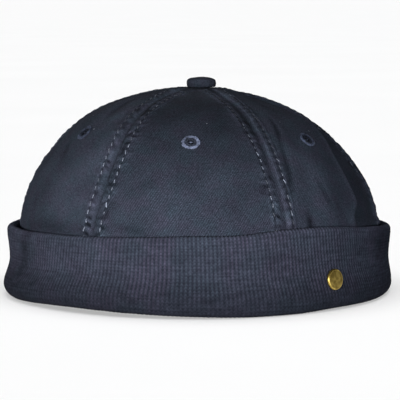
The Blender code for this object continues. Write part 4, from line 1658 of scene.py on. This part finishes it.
    def bar(self) -> tuple[Array, list[Array]]:
        """The bar across the hole: a thin level tube that swells to a knot in its middle by a bell curve, and
        whose two ends are sewn into the sides of the hole.

        Returns:
            Its points in the eyelet's own directions, and its faces.
        """
        place = np.linspace(-0.5, 0.5, self.bar_rings)[:, None] * self.bar_length
        radius = self.bar_radius + self.bar_swell * bell(place, self.knot_width)
        turn = ring_of(self.bar_sides)
        tube = np.stack([place + 0 * turn, radius * np.cos(turn), radius * np.sin(turn) - self.bar_depth], -1)
        ends = [(end, 0.0, -self.bar_depth) for end in place[[0, -1], 0]]
        return np.concatenate([tube.reshape(-1, 3), ends]), capped_faces(self.bar_rings, self.bar_sides)[0]


@dataclass(frozen=True)
class CoveredButton:
    """The covered button: twill drawn tight over a flat dome and gathered under its edge, on a shank."""

    crown: Crown
    radius: float = 7.1 * MM
    height: float = 4.9 * MM
    edge: float = 3.0 * MM
    undercut: float = 0.7 * MM
    fullness: float = 0.8
    shank: float = 2.6 * MM
    shift: float = 1.1 * MM
    seat: float = 99.2 * MM
    foot: float = 97.4 * MM
    side_bulge: float = 0.18 * MM
    # The gathers: their number, a second and lower wave's number and share, their depth, and how far below the
    # dome's middle they set in and are full.
    gathers: int = 13
    uneven_gathers: int = 7
    uneven_share: float = 0.5
    gather_depth: float = 0.16 * MM
    gather_levels: Span = (1.2 * MM, 4.0 * MM)
    # How much its dome is uneven, in how many waves round it and over what distance outwards.
    unevenness: float = 0.12 * MM
    uneven_waves: int = 9
    uneven_length: float = 3 * MM
    # The cloth is worn on the dome, and is painted darker down to the foot, as shade under the dome's edge.
    worn_and_shaded: Span = (-0.8, -0.2)
    columns: int = 104

    def build(self, material: Material) -> None:
        """Builds the button: a turned profile from the dome's middle down to the shank's foot.

        The gathers are a wave round it that grows from the dome's shoulder down to the undercut.

        Args:
            material: the twill.
        """
        arc = np.linspace(0, QUARTER_TURN, 16)[1:]
        rise = self.edge + (self.height - self.edge) * np.cos(arc)
        dome = np.stack([self.radius * np.sin(arc) ** self.fullness, rise], -1)
        side_turn = np.linspace(0, 1, 7)[1:, None]
        side = np.array((self.radius, self.edge)) + side_turn * np.array((0.0, self.undercut - self.edge))
        side[:, 0] += self.side_bulge * np.sin(math.pi * side_turn[:, 0])
        under_turn = np.linspace(0, QUARTER_TURN, 5)[1:]
        inward = self.undercut * (1 - np.cos(under_turn))
        under = np.stack([self.radius - inward, self.undercut * (1 - np.sin(under_turn))], -1)
        neck = np.array([(self.shank, 0.0), (self.shank, self.foot - self.seat)])
        profile = np.concatenate([dome, side, under, neck])
        turn = ring_of(self.columns)
        radius, level = profile[:, :1], profile[:, 1:]
        gather = eased(self.height - level, *self.gather_levels) * (radius > self.shank * 1.5)
        wave = np.cos(self.gathers * turn) + self.uneven_share * np.cos(self.uneven_gathers * turn + 1.0)
        radii = radius - self.gather_depth * gather * (1 - wave) / 2
        waves = self.uneven_waves
        lift = self.unevenness * soft_noise(turn / TAU * waves, radius / self.uneven_length, waves, 31)
        heights = self.seat + level + lift * ((radius < self.radius) & (level > self.edge * 0.9))
        centre = np.full(level.shape, self.shift)
        centre[-len(neck) :] = 0.0
        x, y = radii * np.cos(turn) + centre, radii * np.sin(turn)
        tips = [(self.shift, 0.0, self.seat + self.height), (0.0, 0.0, self.foot)]
        points = np.concatenate([np.stack([x, y, heights], -1).reshape(-1, 3), tips])
        faces, mark_faces = capped_faces(len(profile), self.columns)
        steps = np.linalg.norm(np.diff(np.concatenate([[(0.0, self.height)], profile]), axis=0), axis=1)
        outward = np.append(np.cumsum(steps), 0)[:, None] / MM
        turns = TAU * np.arange(self.columns + 1) / self.columns
        marks = np.stack([outward * np.cos(turns), outward * np.sin(turns)], -1).reshape(-1, 2)
        marks = np.concatenate([marks, [(0.0, 0.0)]])
        # Painted shade: darker from the dome down to the foot.
        dark, dome_worn = self.worn_and_shaded
        wear_and_shading_values = np.repeat(dark + (dome_worn - dark) * np.clip(level[:, 0] / self.height, 0, 1), self.columns)
        wear_and_shading_values = np.append(wear_and_shading_values, (dome_worn, dark))
        piece = make_piece("covered_button", points, faces, marks, mark_faces, material, wear_and_shading_values)
        dress(piece, Slot.TWILL, "button_top")


# The cuff.


@dataclass(frozen=True)
class CuffStation:
    """The cuff's form at a bearing in degrees, in millimetres: its rim's height and lean, and its fold's lift
    and bulge."""

    bearing: float
    rim_height: float
    rim_lean: float
    fold_lift: float
    fold_bulge: float


@dataclass(frozen=True)
class RibbedCuff:
    """The cuff: a doubled ribbed band, with an inner wall, a rounded fold and an outer wall turned up."""

    crown: Crown
    inner_wall: float = 2.8 * MM
    inner_offset: float = -1.2 * MM
    outer_wall: float = 4.2 * MM
    fold_offset: float = 5.05 * MM
    waist_offset: float = 3.3 * MM
    rim_offset: float = 4.55 * MM
    waist_at: float = 0.5
    foot_flattening: float = 0.45 * MM
    top: float = 24.0 * MM
    ribs: int = 324
    rib_height: float = 0.16 * MM
    # Heights across a rib, from its crest over one shoulder, its furrow and the other shoulder.
    rib_section: tuple[float, ...] = (1.0, 0.2, -1.0, 0.2)
    # How far a rib leans to the side for its climb, which opens the ribs like a fan towards the fold.
    fan: float = 1.2
    fan_level: float = 20 * MM
    wander: float = 0.0015
    # How strong the ribs are along the section's parts: inside, round the fold before and after the foot,
    # outside, over the rim, behind it, in the slot and behind the inner wall. Then how finely all but the
    # last are divided.
    rib_strengths: tuple[float, ...] = (0.8, 0.8, 1.0, 1.0, 1.0, 0.5, 0.3, 0.3)
    divisions: tuple[int, ...] = (9, 7, 9, 26, 9, 8, 5)
    # The knit's own unevenness: waves round the cap with their length up it, and their strength.
    wander_waves: Span = (40, 9 * MM)
    swell_waves: Span = (30, 14 * MM)
    swell: float = 0.25 * MM
    stitch_length: float = 1.5 * MM
    stitch_relief: float = 0.05 * MM
    # The heights over which the wander, the ribs and the swell set in above the foot, where the knit is flat.
    wander_heights: Span = (2 * MM, 12 * MM)
    rib_heights: Span = (3 * MM, 13 * MM)
    swell_heights: Span = (3 * MM, 10 * MM)
    foot_ribs: float = 0.45
    # The rim's edge is worn paler: how much, and from how far below the rim on.
    rim_worn: float = 0.4
    rim_edge: Span = (1.7 * MM, 0.3 * MM)
    # Painted shade, half way up: its height and its spread, in general and at the
    # two ends, how dark it is all round, from the front to the right, at the right end and at the left end,
    # and the bearings in degrees of these. Left of the front is a place painted paler as light: its bearing,
    # spread, strength.
    shade_height: float = 25 * MM
    shade_spread: float = 7.5 * MM
    end_shade_spread: float = 13 * MM
    shades: Four = (0.1, 0.18, 0.75, 0.65)
    front_shade: Four = (-5, 15, 60, 74)
    right_shade: Four = (61, 71, 110, 150)
    left_shade: Span = (-56, 4)
    pale_place: tuple[float, float, float] = (-36, 14, 0.12)
    stations: tuple[CuffStation, ...] = (
        CuffStation(-150, 33.4, 0.3, 0.0, 0.0),
        CuffStation(-117, 31.0, 0.2, 0.0, -0.4),
        CuffStation(-90, 31.7, 0.1, 0.0, -1.2),
        CuffStation(-60, 33.2, -1.2, 0.0, 3.5),
        CuffStation(-32, 34.7, -1.3, 1.9, 2.4),
        CuffStation(0, 36.5, -1.3, 0.8, 1.8),
        CuffStation(16, 36.9, -1.3, 0.0, 1.6),
        CuffStation(28, 38.5, -1.3, 0.0, 1.3),
        CuffStation(40, 38.6, -1.2, 0.6, 1.0),
        CuffStation(62, 35.6, -1.3, 0.2, 1.1),
        CuffStation(90, 32.0, -0.3, 0.1, -0.1),
        CuffStation(117, 30.8, 0.1, 0.0, 0.1),
        CuffStation(150, 33.6, 0.3, 0.0, 0.0),
        CuffStation(180, 34.2, 0.3, 0.0, 0.0),
    )

    def degrees(self, bearing: Array) -> Array:
        """Bearings in degrees, from -180 up to 180."""
        return (np.degrees(bearing) + 180) % 360 - 180

    def form(self, bearing: Array) -> CuffStation:
        """The form at bearings in radians, on a smooth closed curve through the stations.

        Between two stations it is the cubic that has their values and the mean slopes there.

        Args:
            bearing: the places' bearings.

        Returns:
            A station whose fields are arrays, in metres.
        """
        degrees = self.degrees(bearing)
        table = np.array([list(vars(station).values()) for station in self.stations])
        turns = np.concatenate([table[:, 0] - 360, table[:, 0], table[:, 0] + 360])
        values = np.tile(table[:, 1:], (3, 1)) * MM
        slopes = np.gradient(values, turns, axis=0)
        low = np.clip(np.searchsorted(turns, degrees) - 1, 0, len(turns) - 2)
        width = (turns[low + 1] - turns[low])[..., None]
        t = (degrees - turns[low])[..., None] / width
        start = (2 * t**3 - 3 * t**2 + 1) * values[low] + (t**3 - 2 * t**2 + t) * width * slopes[low]
        end = (3 * t**2 - 2 * t**3) * values[low + 1] + (t**3 - t**2) * width * slopes[low + 1]
        return CuffStation(degrees, *np.moveaxis(start + end, -1, 0))

    def fold(self, form: CuffStation) -> tuple[Array, Array, Array]:
        """The fold's circle: the offset and the height of its middle, and its radius."""
        spread = self.fold_offset + form.fold_bulge - self.inner_offset
        radius = (spread + (self.inner_wall + self.outer_wall) / 2) / 2
        offset = self.inner_offset - self.inner_wall / 2 + radius
        return offset, radius - self.foot_flattening + np.maximum(form.fold_lift, 0), radius

    def outer_line(self, height: Array, form: CuffStation) -> Array:
        """The offset of the outer wall's middle at a height: in at the waist, out again at the rim."""
        low = self.fold(form)[1]
        share = (height - low) / (form.rim_height - self.outer_wall / 2 - low)
        fold_offset = self.fold_offset + form.fold_bulge
        rim_offset = self.rim_offset + form.rim_lean
        below = (fold_offset - self.waist_offset) * (1 + np.cos(math.pi * share / self.waist_at)) / 2
        rising = np.clip((share - self.waist_at) / (1 - self.waist_at), 0, 1)
        above = (rim_offset - self.waist_offset) * (1 - np.cos(math.pi * rising)) / 2
        return self.waist_offset + np.where(share < self.waist_at, below, above)

    def section(self, bearing: Array) -> tuple[Array, Array, Array]:
        """The closed section at every bearing: down the inside, round the fold, up the outside, over the rim,
        down behind it, round the slot and up the back of the inner wall.

        Args:
            bearing: the places' bearings.

        Returns:
            Offsets from the oval and heights, with a row for each point of the section, and how strong the
            ribs are in each row.
        """
        form = self.form(bearing)
        offset, level, radius = self.fold(form)
        half = self.outer_wall / 2
        inner_face = self.inner_offset - self.inner_wall / 2
        inner_back = self.inner_offset + self.inner_wall / 2
        foot = np.arccos(1 - self.foot_flattening / radius)

        def arc(middle: object, height: object, size: object, first: object, last: object, steps: int) -> tuple:
            """Points of an arc from one angle to another, with its first point."""
            angle = first + (last - first) * np.linspace(0, 1, steps)[:, None]
            return middle + size * np.cos(angle), height + size * np.sin(angle)

        inner, to_foot, from_foot, outer, over_rim, rear, low_slot = self.divisions
        down = np.linspace(0, 1, inner)[:-1, None]
        inside = (inner_face + 0 * level * down, self.top + (level - self.top) * down)
        before = arc(offset, level, radius, math.pi, 3 * QUARTER_TURN - foot, to_foot)
        after = arc(offset, level, radius, 3 * QUARTER_TURN + foot, TAU, from_foot)
        up = np.linspace(0, 1, outer)[1:-1, None]
        rim_level = form.rim_height - half
        heights = level + (rim_level - level) * up
        outside = (self.outer_line(heights, form) + half, heights)
        rim_line = self.outer_line(rim_level, form)
        rim = arc(rim_line, rim_level, half, 0.0, math.pi, over_rim)
        back = np.linspace(1, 0, rear)[1:-1, None]
        heights = level + (rim_level - level) * back
        behind = (self.outer_line(heights, form) - half, heights)
        fold_line = self.outer_line(level, form)
        slot = fold_line - half - inner_back
        bottom = arc(inner_back + slot / 2, level, slot / 2, TAU, math.pi, low_slot)
        back_top = (inner_back + 0 * level[None], self.top + 0 * level[None])
        parts = (inside, before, after, outside, rim, behind, bottom, back_top)
        rows = [np.full(len(part[0]), strength) for part, strength in zip(parts, self.rib_strengths)]
        offsets = np.concatenate([np.broadcast_to(part[0], part[1].shape) for part in parts])
        return offsets, np.concatenate([part[1] for part in parts]), np.concatenate(rows)

    def shade(self, bearing: Array, height: Array) -> Array:
        """How much darker the cuff is painted as shade: a bell curve of the height, by the side of the cuff."""
        degrees = self.degrees(bearing)
        every, front, right, left = self.shades
        place, spread, paler = self.pale_place
        front = front * plateau(degrees, *self.front_shade) - paler * bell(degrees - place, spread)
        middle, width = self.left_shade
        end = right * plateau(degrees, *self.right_shade) + left * bell(degrees - middle, width)
        share = (every + front) * bell(height - self.shade_height, self.shade_spread)
        return share + end * bell(height - self.shade_height, self.end_shade_spread)

    def waves(self, bearing: Array, height: Array, waves: int, length: float, seed: int) -> Array:
        """Soft noise over the cuff, in waves round the cap and of a length up it."""
        return soft_noise((bearing + math.pi) / TAU * waves, height / length, waves, seed)

    def build(self, material: Material) -> None:
        """Builds the cuff: its section carried round the oval, and raised or sunk across each rib.

        Args:
            material: the knit.
        """
        per_rib = len(self.rib_section)
        columns = self.ribs * per_rib
        turns, lengths = self.crown.girth()
        once = self.crown.round_cloth(math.pi)
        even = np.interp(once * np.arange(columns) / columns, lengths, turns)
        offsets, heights, strength = self.section(even)
        rows = len(offsets)
        # Ribs wander a little to each side as they climb.
        wander = self.wander * self.waves(even, heights, *self.wander_waves, 21)
        wander = wander * eased(heights, *self.wander_heights)
        open_share = np.sin(even) * (1 + np.cos(even))
        lean = self.fan * (self.fan_level - heights) * open_share * (strength[:, None] > 0.9)
        bearing = even + wander + lean
        oval, outward = self.crown.oval(bearing)
        section = np.stack([offsets, heights], -1)
        down = np.roll(section, -1, 0) - np.roll(section, 1, 0)
        normal = np.stack([down[..., 1], -down[..., 0]], -1)
        normal /= np.maximum(np.linalg.norm(normal, axis=-1, keepdims=True), 1e-9)
        drawn = self.foot_ribs + (1 - self.foot_ribs) * eased(heights, *self.rib_heights)
        rib = np.tile(self.rib_section, self.ribs) * self.rib_height * drawn
        stitch = self.stitch_relief * self.waves(even, heights, self.ribs, self.stitch_length, 23)
        swell = self.swell * self.waves(even, heights, *self.swell_waves, 22)
        raised = (rib + stitch) * strength[:, None] + swell * eased(heights, *self.swell_heights)
        section = section + normal * raised[..., None]
        flat = oval + outward * section[..., :1]
        points = np.concatenate([flat, np.maximum(section[..., 1:], 0.0)], -1)
        faces, mark_faces = grid_faces(rows, columns, True, True)
        plain = np.linalg.norm(np.diff(np.stack([offsets, heights], -1)[:, 0], axis=0), axis=-1)
        along = np.concatenate([[0], np.cumsum(plain), [plain.sum() + self.inner_wall]]) / MM
        marks = mark_grid(np.arange(columns + 1) / per_rib, along)
        rim = self.form(even).rim_height
        low, high = self.rim_edge
        # Paler wear at the rim's edge, less the painted shade.
        wear_and_shading_values = self.rim_worn * eased(heights, rim - low, rim - high) - self.shade(even, heights)
        piece = make_piece("ribbed_cuff", points, [faces], marks, [mark_faces], material, wear_and_shading_values.ravel())
        dress(piece, Slot.KNIT, "cuff")


@dataclass(frozen=True)
class BrassStud:
    """The stud: a stamped disc with a nearly flat face and a rounded edge, its post and its back plate."""

    cuff: RibbedCuff
    bearing: float = math.radians(41.4)
    height: float = 14.3 * MM
    radius: float = 4.9 * MM
    seat: float = 0.5 * MM
    post: float = 1.1 * MM
    plate_radius: float = 3.4 * MM
    plate: float = 0.7 * MM
    gap: float = 0.3 * MM
    columns: int = 96
    # The height of the disc's middle over the seat, and how bright it is worn.
    middle: Span = (1.5 * MM, -0.1)
    # How brown the post and the back plate have stayed.
    back_worn: float = -0.6
    # The disc's profile from its middle to its seat: a share of its radius, a height over the seat in mm, and
    # how bright it is painted, as polish and as a painted highlight on its edge, or below 0 how brown it has
    # stayed.
    disc: tuple[tuple[float, float, float], ...] = (
        (0.15, 1.5, -0.1),
        (0.35, 1.48, -0.1),
        (0.55, 1.43, -0.1),
        (0.7, 1.37, -0.15),
        (0.8, 1.31, -0.2),
        (0.84, 1.29, 0.0),
        (0.865, 1.31, 0.5),
        (0.89, 1.31, 0.7),
        (0.92, 1.25, 0.8),
        (0.95, 1.12, 0.9),
        (0.975, 0.94, 1.0),
        (0.99, 0.75, 1.0),
        (1.0, 0.5, 0.9),
        (0.995, 0.3, 0.3),
        (0.98, 0.12, -0.6),
        (0.95, 0.02, -0.6),
        (0.9, 0.0, -0.6),
    )
    # How much of the cuff's slope the disc follows: its post is stiff, and the knit gives way.
    slope_share: float = 0.55

    def place(self, bearing: float, height: float) -> Array:
        """A point of the cuff's outer face at a bearing in radians and a height."""
        turn = np.array(bearing)
        form = self.cuff.form(turn)
        offset = self.cuff.outer_line(np.array(height), form) + self.cuff.outer_wall / 2
        oval, outward = self.cuff.crown.oval(turn)
        return np.append(oval + outward * offset, height)

    def build(self, material: Material) -> None:
        """Builds the stud as one turned piece, square to the cuff's face.

        Args:
            material: the brass.
        """
        middle = self.place(self.bearing, self.height)
        high, low = (self.place(self.bearing, self.height + reach) for reach in (self.radius, -self.radius))
        step = math.radians(1)
        run = self.place(self.bearing + step, self.height) - self.place(self.bearing - step, self.height)
        axis = unit(np.cross(run, high - low) * (1.0, 1.0, self.slope_share))
        behind = -(self.cuff.outer_wall + self.gap)
        disc = np.array(self.disc)[:, :2] * (self.radius, MM) + (0.0, self.seat)
        back = behind - self.plate
        plate = self.plate_radius
        rest = [(self.post, self.seat), (self.post, behind), (plate, behind), (plate, back)]
        profile = np.concatenate([disc, rest])
        turn = ring_of(self.columns)
        level, upright, along = turned_frame(axis)
        ring = np.outer(np.cos(turn), level) + np.outer(np.sin(turn), upright)
        points = middle + profile[:, :1, None] * ring + profile[:, 1:, None] * along
        rise, middle_worn = self.middle
        tips = [middle + along * (self.seat + rise), middle + along * back]
        whole = np.concatenate([points.reshape(-1, 3), tips])
        faces, mark_faces = capped_faces(len(profile), self.columns)
        marks = np.zeros(((len(profile) + 1) * (self.columns + 1) + 1, 2))
        # The disc's edge is painted bright, as polish and as a painted highlight.
        worn_and_shaded = np.append(np.array(self.disc)[:, 2], (self.back_worn,) * len(rest))
        wear_and_shading_values = np.append(np.repeat(worn_and_shaded, self.columns), (middle_worn, self.back_worn))
        piece = make_piece("brass_stud", whole, faces, marks, mark_faces, material, wear_and_shading_values)
        dress(piece, Slot.BRASS, "stud")


# The studio.


@dataclass(frozen=True)
class Softbox:
    """A soft light: bearing and elevation in degrees, distance, width, height, power in watts and colour."""

    name: str
    bearing: float
    elevation: float
    distance: float
    width: float
    height: float
    power: float
    colour: str


@dataclass(frozen=True)
class Studio:
    """A pale floor, a low key light from the front left, weaker lights round the cap, and the camera."""

    aim: tuple[float, float, float] = (0.46 * MM, 0.0, 43.2 * MM)
    fit_aim: float = 50 * MM
    camera_bearing: float = math.radians(3.3)
    camera_elevation: float = math.radians(5.3)
    camera_distance: float = 1.0
    pixel: float = 0.495 * MM
    frame_pixels: int = 400
    sensor_mm: float = 36.0
    floor_radius: float = 500.0
    floor_rings: int = 12
    floor_sides: int = 72
    sun_width: float = math.radians(80)
    # The pale band at the horizon: the heights of a direction between which it fades.
    horizon_edge: Span = (0.02, 0.08)
    room_colour: str = "f7f9ff"
    room_light: float = 0.06
    horizon_light: float = 0.9
    floor_light: float = 3.35
    floor_shadow_share: float = 0.35
    softboxes: tuple[Softbox, ...] = (
        Softbox("key_light", -24, 4, 1.8, 0.7, 0.24, 20.0, "fffefc"),
        Softbox("fill_light", 19, 3, 1.8, 0.9, 0.2, 14.0, "fafbff"),
        Softbox("back_light", 178, 34, 1.8, 0.9, 0.5, 4.0, "ffffff"),
    )

    def direction(self, bearing: float, elevation: float) -> Array:
        """The direction towards a bearing and an elevation in radians."""
        flat = math.cos(elevation)
        return np.array([math.sin(bearing) * flat, -math.cos(bearing) * flat, math.sin(elevation)])

    def point_at(self, thing: Piece, place: Array, target: Array) -> None:
        """Puts a light or camera at a place and turns it to look at a target."""
        backward = (place - target) / np.linalg.norm(place - target)
        right, upward, _ = turned_frame(backward)
        matrix = np.eye(4)
        matrix[:3, 0], matrix[:3, 1], matrix[:3, 2], matrix[:3, 3] = right, upward, backward, place
        thing.matrix_world = matrix.T

    def build(self, floor_material: Material) -> None:
        """Builds the floor, the lights, the world and the camera.

        Args:
            floor_material: the floor's finish.
        """
        floor = self.floor(floor_material)
        for box in self.softboxes:
            self.softbox(box, floor)
        self.floor_suns(floor)
        self.world()
        self.camera()

    def floor(self, material: Material) -> Piece:
        """A flat disc: rings of points that grow outwards, so that its edge is past the horizon."""
        radius = np.concatenate([[0.15], np.geomspace(0.5, self.floor_radius, self.floor_rings)])[:, None]
        turn = ring_of(self.floor_sides)
        points = np.stack([radius * np.sin(turn), -radius * np.cos(turn), 0 * radius * turn], -1)
        whole = np.concatenate([points.reshape(-1, 3), [(0.0, 0.0, 0.0)]])
        (faces, fans), (marks, fan_marks) = capped_faces(len(radius), self.floor_sides)
        inner = slice(self.floor_sides)
        flat = np.zeros(((len(radius) + 1) * (self.floor_sides + 1) + 1, 2))
        every, every_mark = [faces, fans[inner]], [marks, fan_marks[inner]]
        floor = make_piece("studio_floor", whole, every, flat, every_mark, material)
        if floor.data.polygons[0].normal.z < 0:
            floor.data.flip_normals()
        floor.visible_diffuse = False
        return floor

    def softbox(self, box: Softbox, floor: Piece) -> None:
        """One soft light, which doesn't reach the floor, so that the floor stays even."""
        data = bpy.data.lights.new(box.name, "AREA")
        data.shape, data.size, data.size_y, data.energy = "RECTANGLE", box.width, box.height, box.power
        data.color = linear(box.colour)[:3]
        lamp = bpy.data.objects.new(box.name, data)
        bpy.context.scene.collection.objects.link(lamp)
        target = np.array((0.0, 0.0, self.fit_aim))
        way = self.direction(math.radians(box.bearing), math.radians(box.elevation))
        self.point_at(lamp, target + way * box.distance, target)
        self.link_light(lamp, floor, "EXCLUDE")

    def floor_suns(self, floor: Piece) -> None:
        """Two broad even lights from above that reach the floor alone. The cap shades one of them."""
        shares = {"floor_light": 1 - self.floor_shadow_share, "floor_shadow_light": self.floor_shadow_share}
        for name, share in shares.items():
            data = bpy.data.lights.new(name, "SUN")
            data.energy, data.angle = self.floor_light * share, self.sun_width
            lamp = bpy.data.objects.new(name, data)
            bpy.context.scene.collection.objects.link(lamp)
            lamp.location = (0, 0, 2)
            self.link_light(lamp, floor, "INCLUDE")
        bpy.data.objects["floor_light"].light_linking.blocker_collection = self.only(floor, "floor_blocks")

    def link_light(self, lamp: Piece, floor: Piece, state: str) -> None:
        """Lets a light reach the floor alone, or everything but the floor."""
        receivers = self.only(floor, lamp.name + "_reaches")
        receivers.collection_objects[0].light_linking.link_state = state
        lamp.light_linking.receiver_collection = receivers

    def only(self, thing: Piece, name: str) -> bpy.types.Collection:
        """A collection with one object in it, for a light to be linked by."""
        collection = bpy.data.collections.new(name)
        collection.objects.link(thing)
        return collection

    def world(self) -> None:
        """A dim even room, with a pale band at its horizon that carries the floor's tone on."""
        world = bpy.data.worlds.new("studio_room")
        world.use_nodes = True
        tree = world.node_tree
        way = add_node(tree, "ShaderNodeTexCoord", {}, {}).outputs["Generated"]
        up = add_node(tree, "ShaderNodeSeparateXYZ", {}, {0: way}).outputs[2]
        away = add_node(tree, "ShaderNodeMath", {"operation": "ABSOLUTE"}, {0: up}).outputs[0]
        low, high = self.horizon_edge
        ends = {"From Min": low, "From Max": high, "To Min": self.horizon_light, "To Max": self.room_light}
        strength = add_node(tree, "ShaderNodeMapRange", {}, {"Value": away, **ends}).outputs["Result"]
        tree.links.new(strength, tree.nodes["Background"].inputs["Strength"])
        tree.nodes["Background"].inputs["Color"].default_value = linear(self.room_colour)
        bpy.context.scene.world = world
        bpy.context.scene.view_settings.view_transform = "Standard"

    def camera(self) -> None:
        """The camera at the photograph's angle, with a lens that gives its scale at the cap's middle."""
        data = bpy.data.cameras.new("camera")
        data.sensor_width = self.sensor_mm
        data.lens = self.sensor_mm * self.camera_distance / (self.pixel * self.frame_pixels)
        camera = bpy.data.objects.new("camera", data)
        bpy.context.scene.collection.objects.link(camera)
        way = self.direction(self.camera_bearing, self.camera_elevation)
        place = np.array((0.0, 0.0, self.fit_aim)) + way * self.camera_distance
        self.point_at(camera, place, np.array(self.aim))
        bpy.context.scene.camera = camera


def main() -> None:
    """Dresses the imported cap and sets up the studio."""
    logging.basicConfig(level=logging.INFO, format="%(name)s: %(message)s")
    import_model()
    knit, brass = KnitFinish().make(), BrassFinish().make()
    coarse = TwillFinish().make()
    fine = TwillFinish("cotton_twill_fine", pitch_mm=0.75).make()
    thread = ThreadFinish("topstitch_thread", "a8b0c2", "454b5a").make()
    patch = Mottle(1.3, 2.0, 0.5, 1.4)
    # The front eyelet's thread is a paler copy of the navy one, painted as the light that it catches.
    pale = ThreadFinish("eyelet_thread_pale", "7b849d", "3f4557", patch=patch, painted_shade=0.6).make()
    dark = ThreadFinish("eyelet_thread_navy", "495165", "232833", patch=patch, painted_shade=0.6).make()
    crown = Crown()
    relief = SewnRelief(crown)
    cuff = RibbedCuff(crown)
    TwillPanels(crown, relief).build(coarse, fine)
    Topstitching(crown, relief).build(thread)
    Eyelets(crown).build(pale, dark)
    CoveredButton(crown).build(fine)
    cuff.build(knit)
    BrassStud(cuff).build(brass)
    Studio().build(FloorFinish().make())


if __name__ == "__main__":
    main()
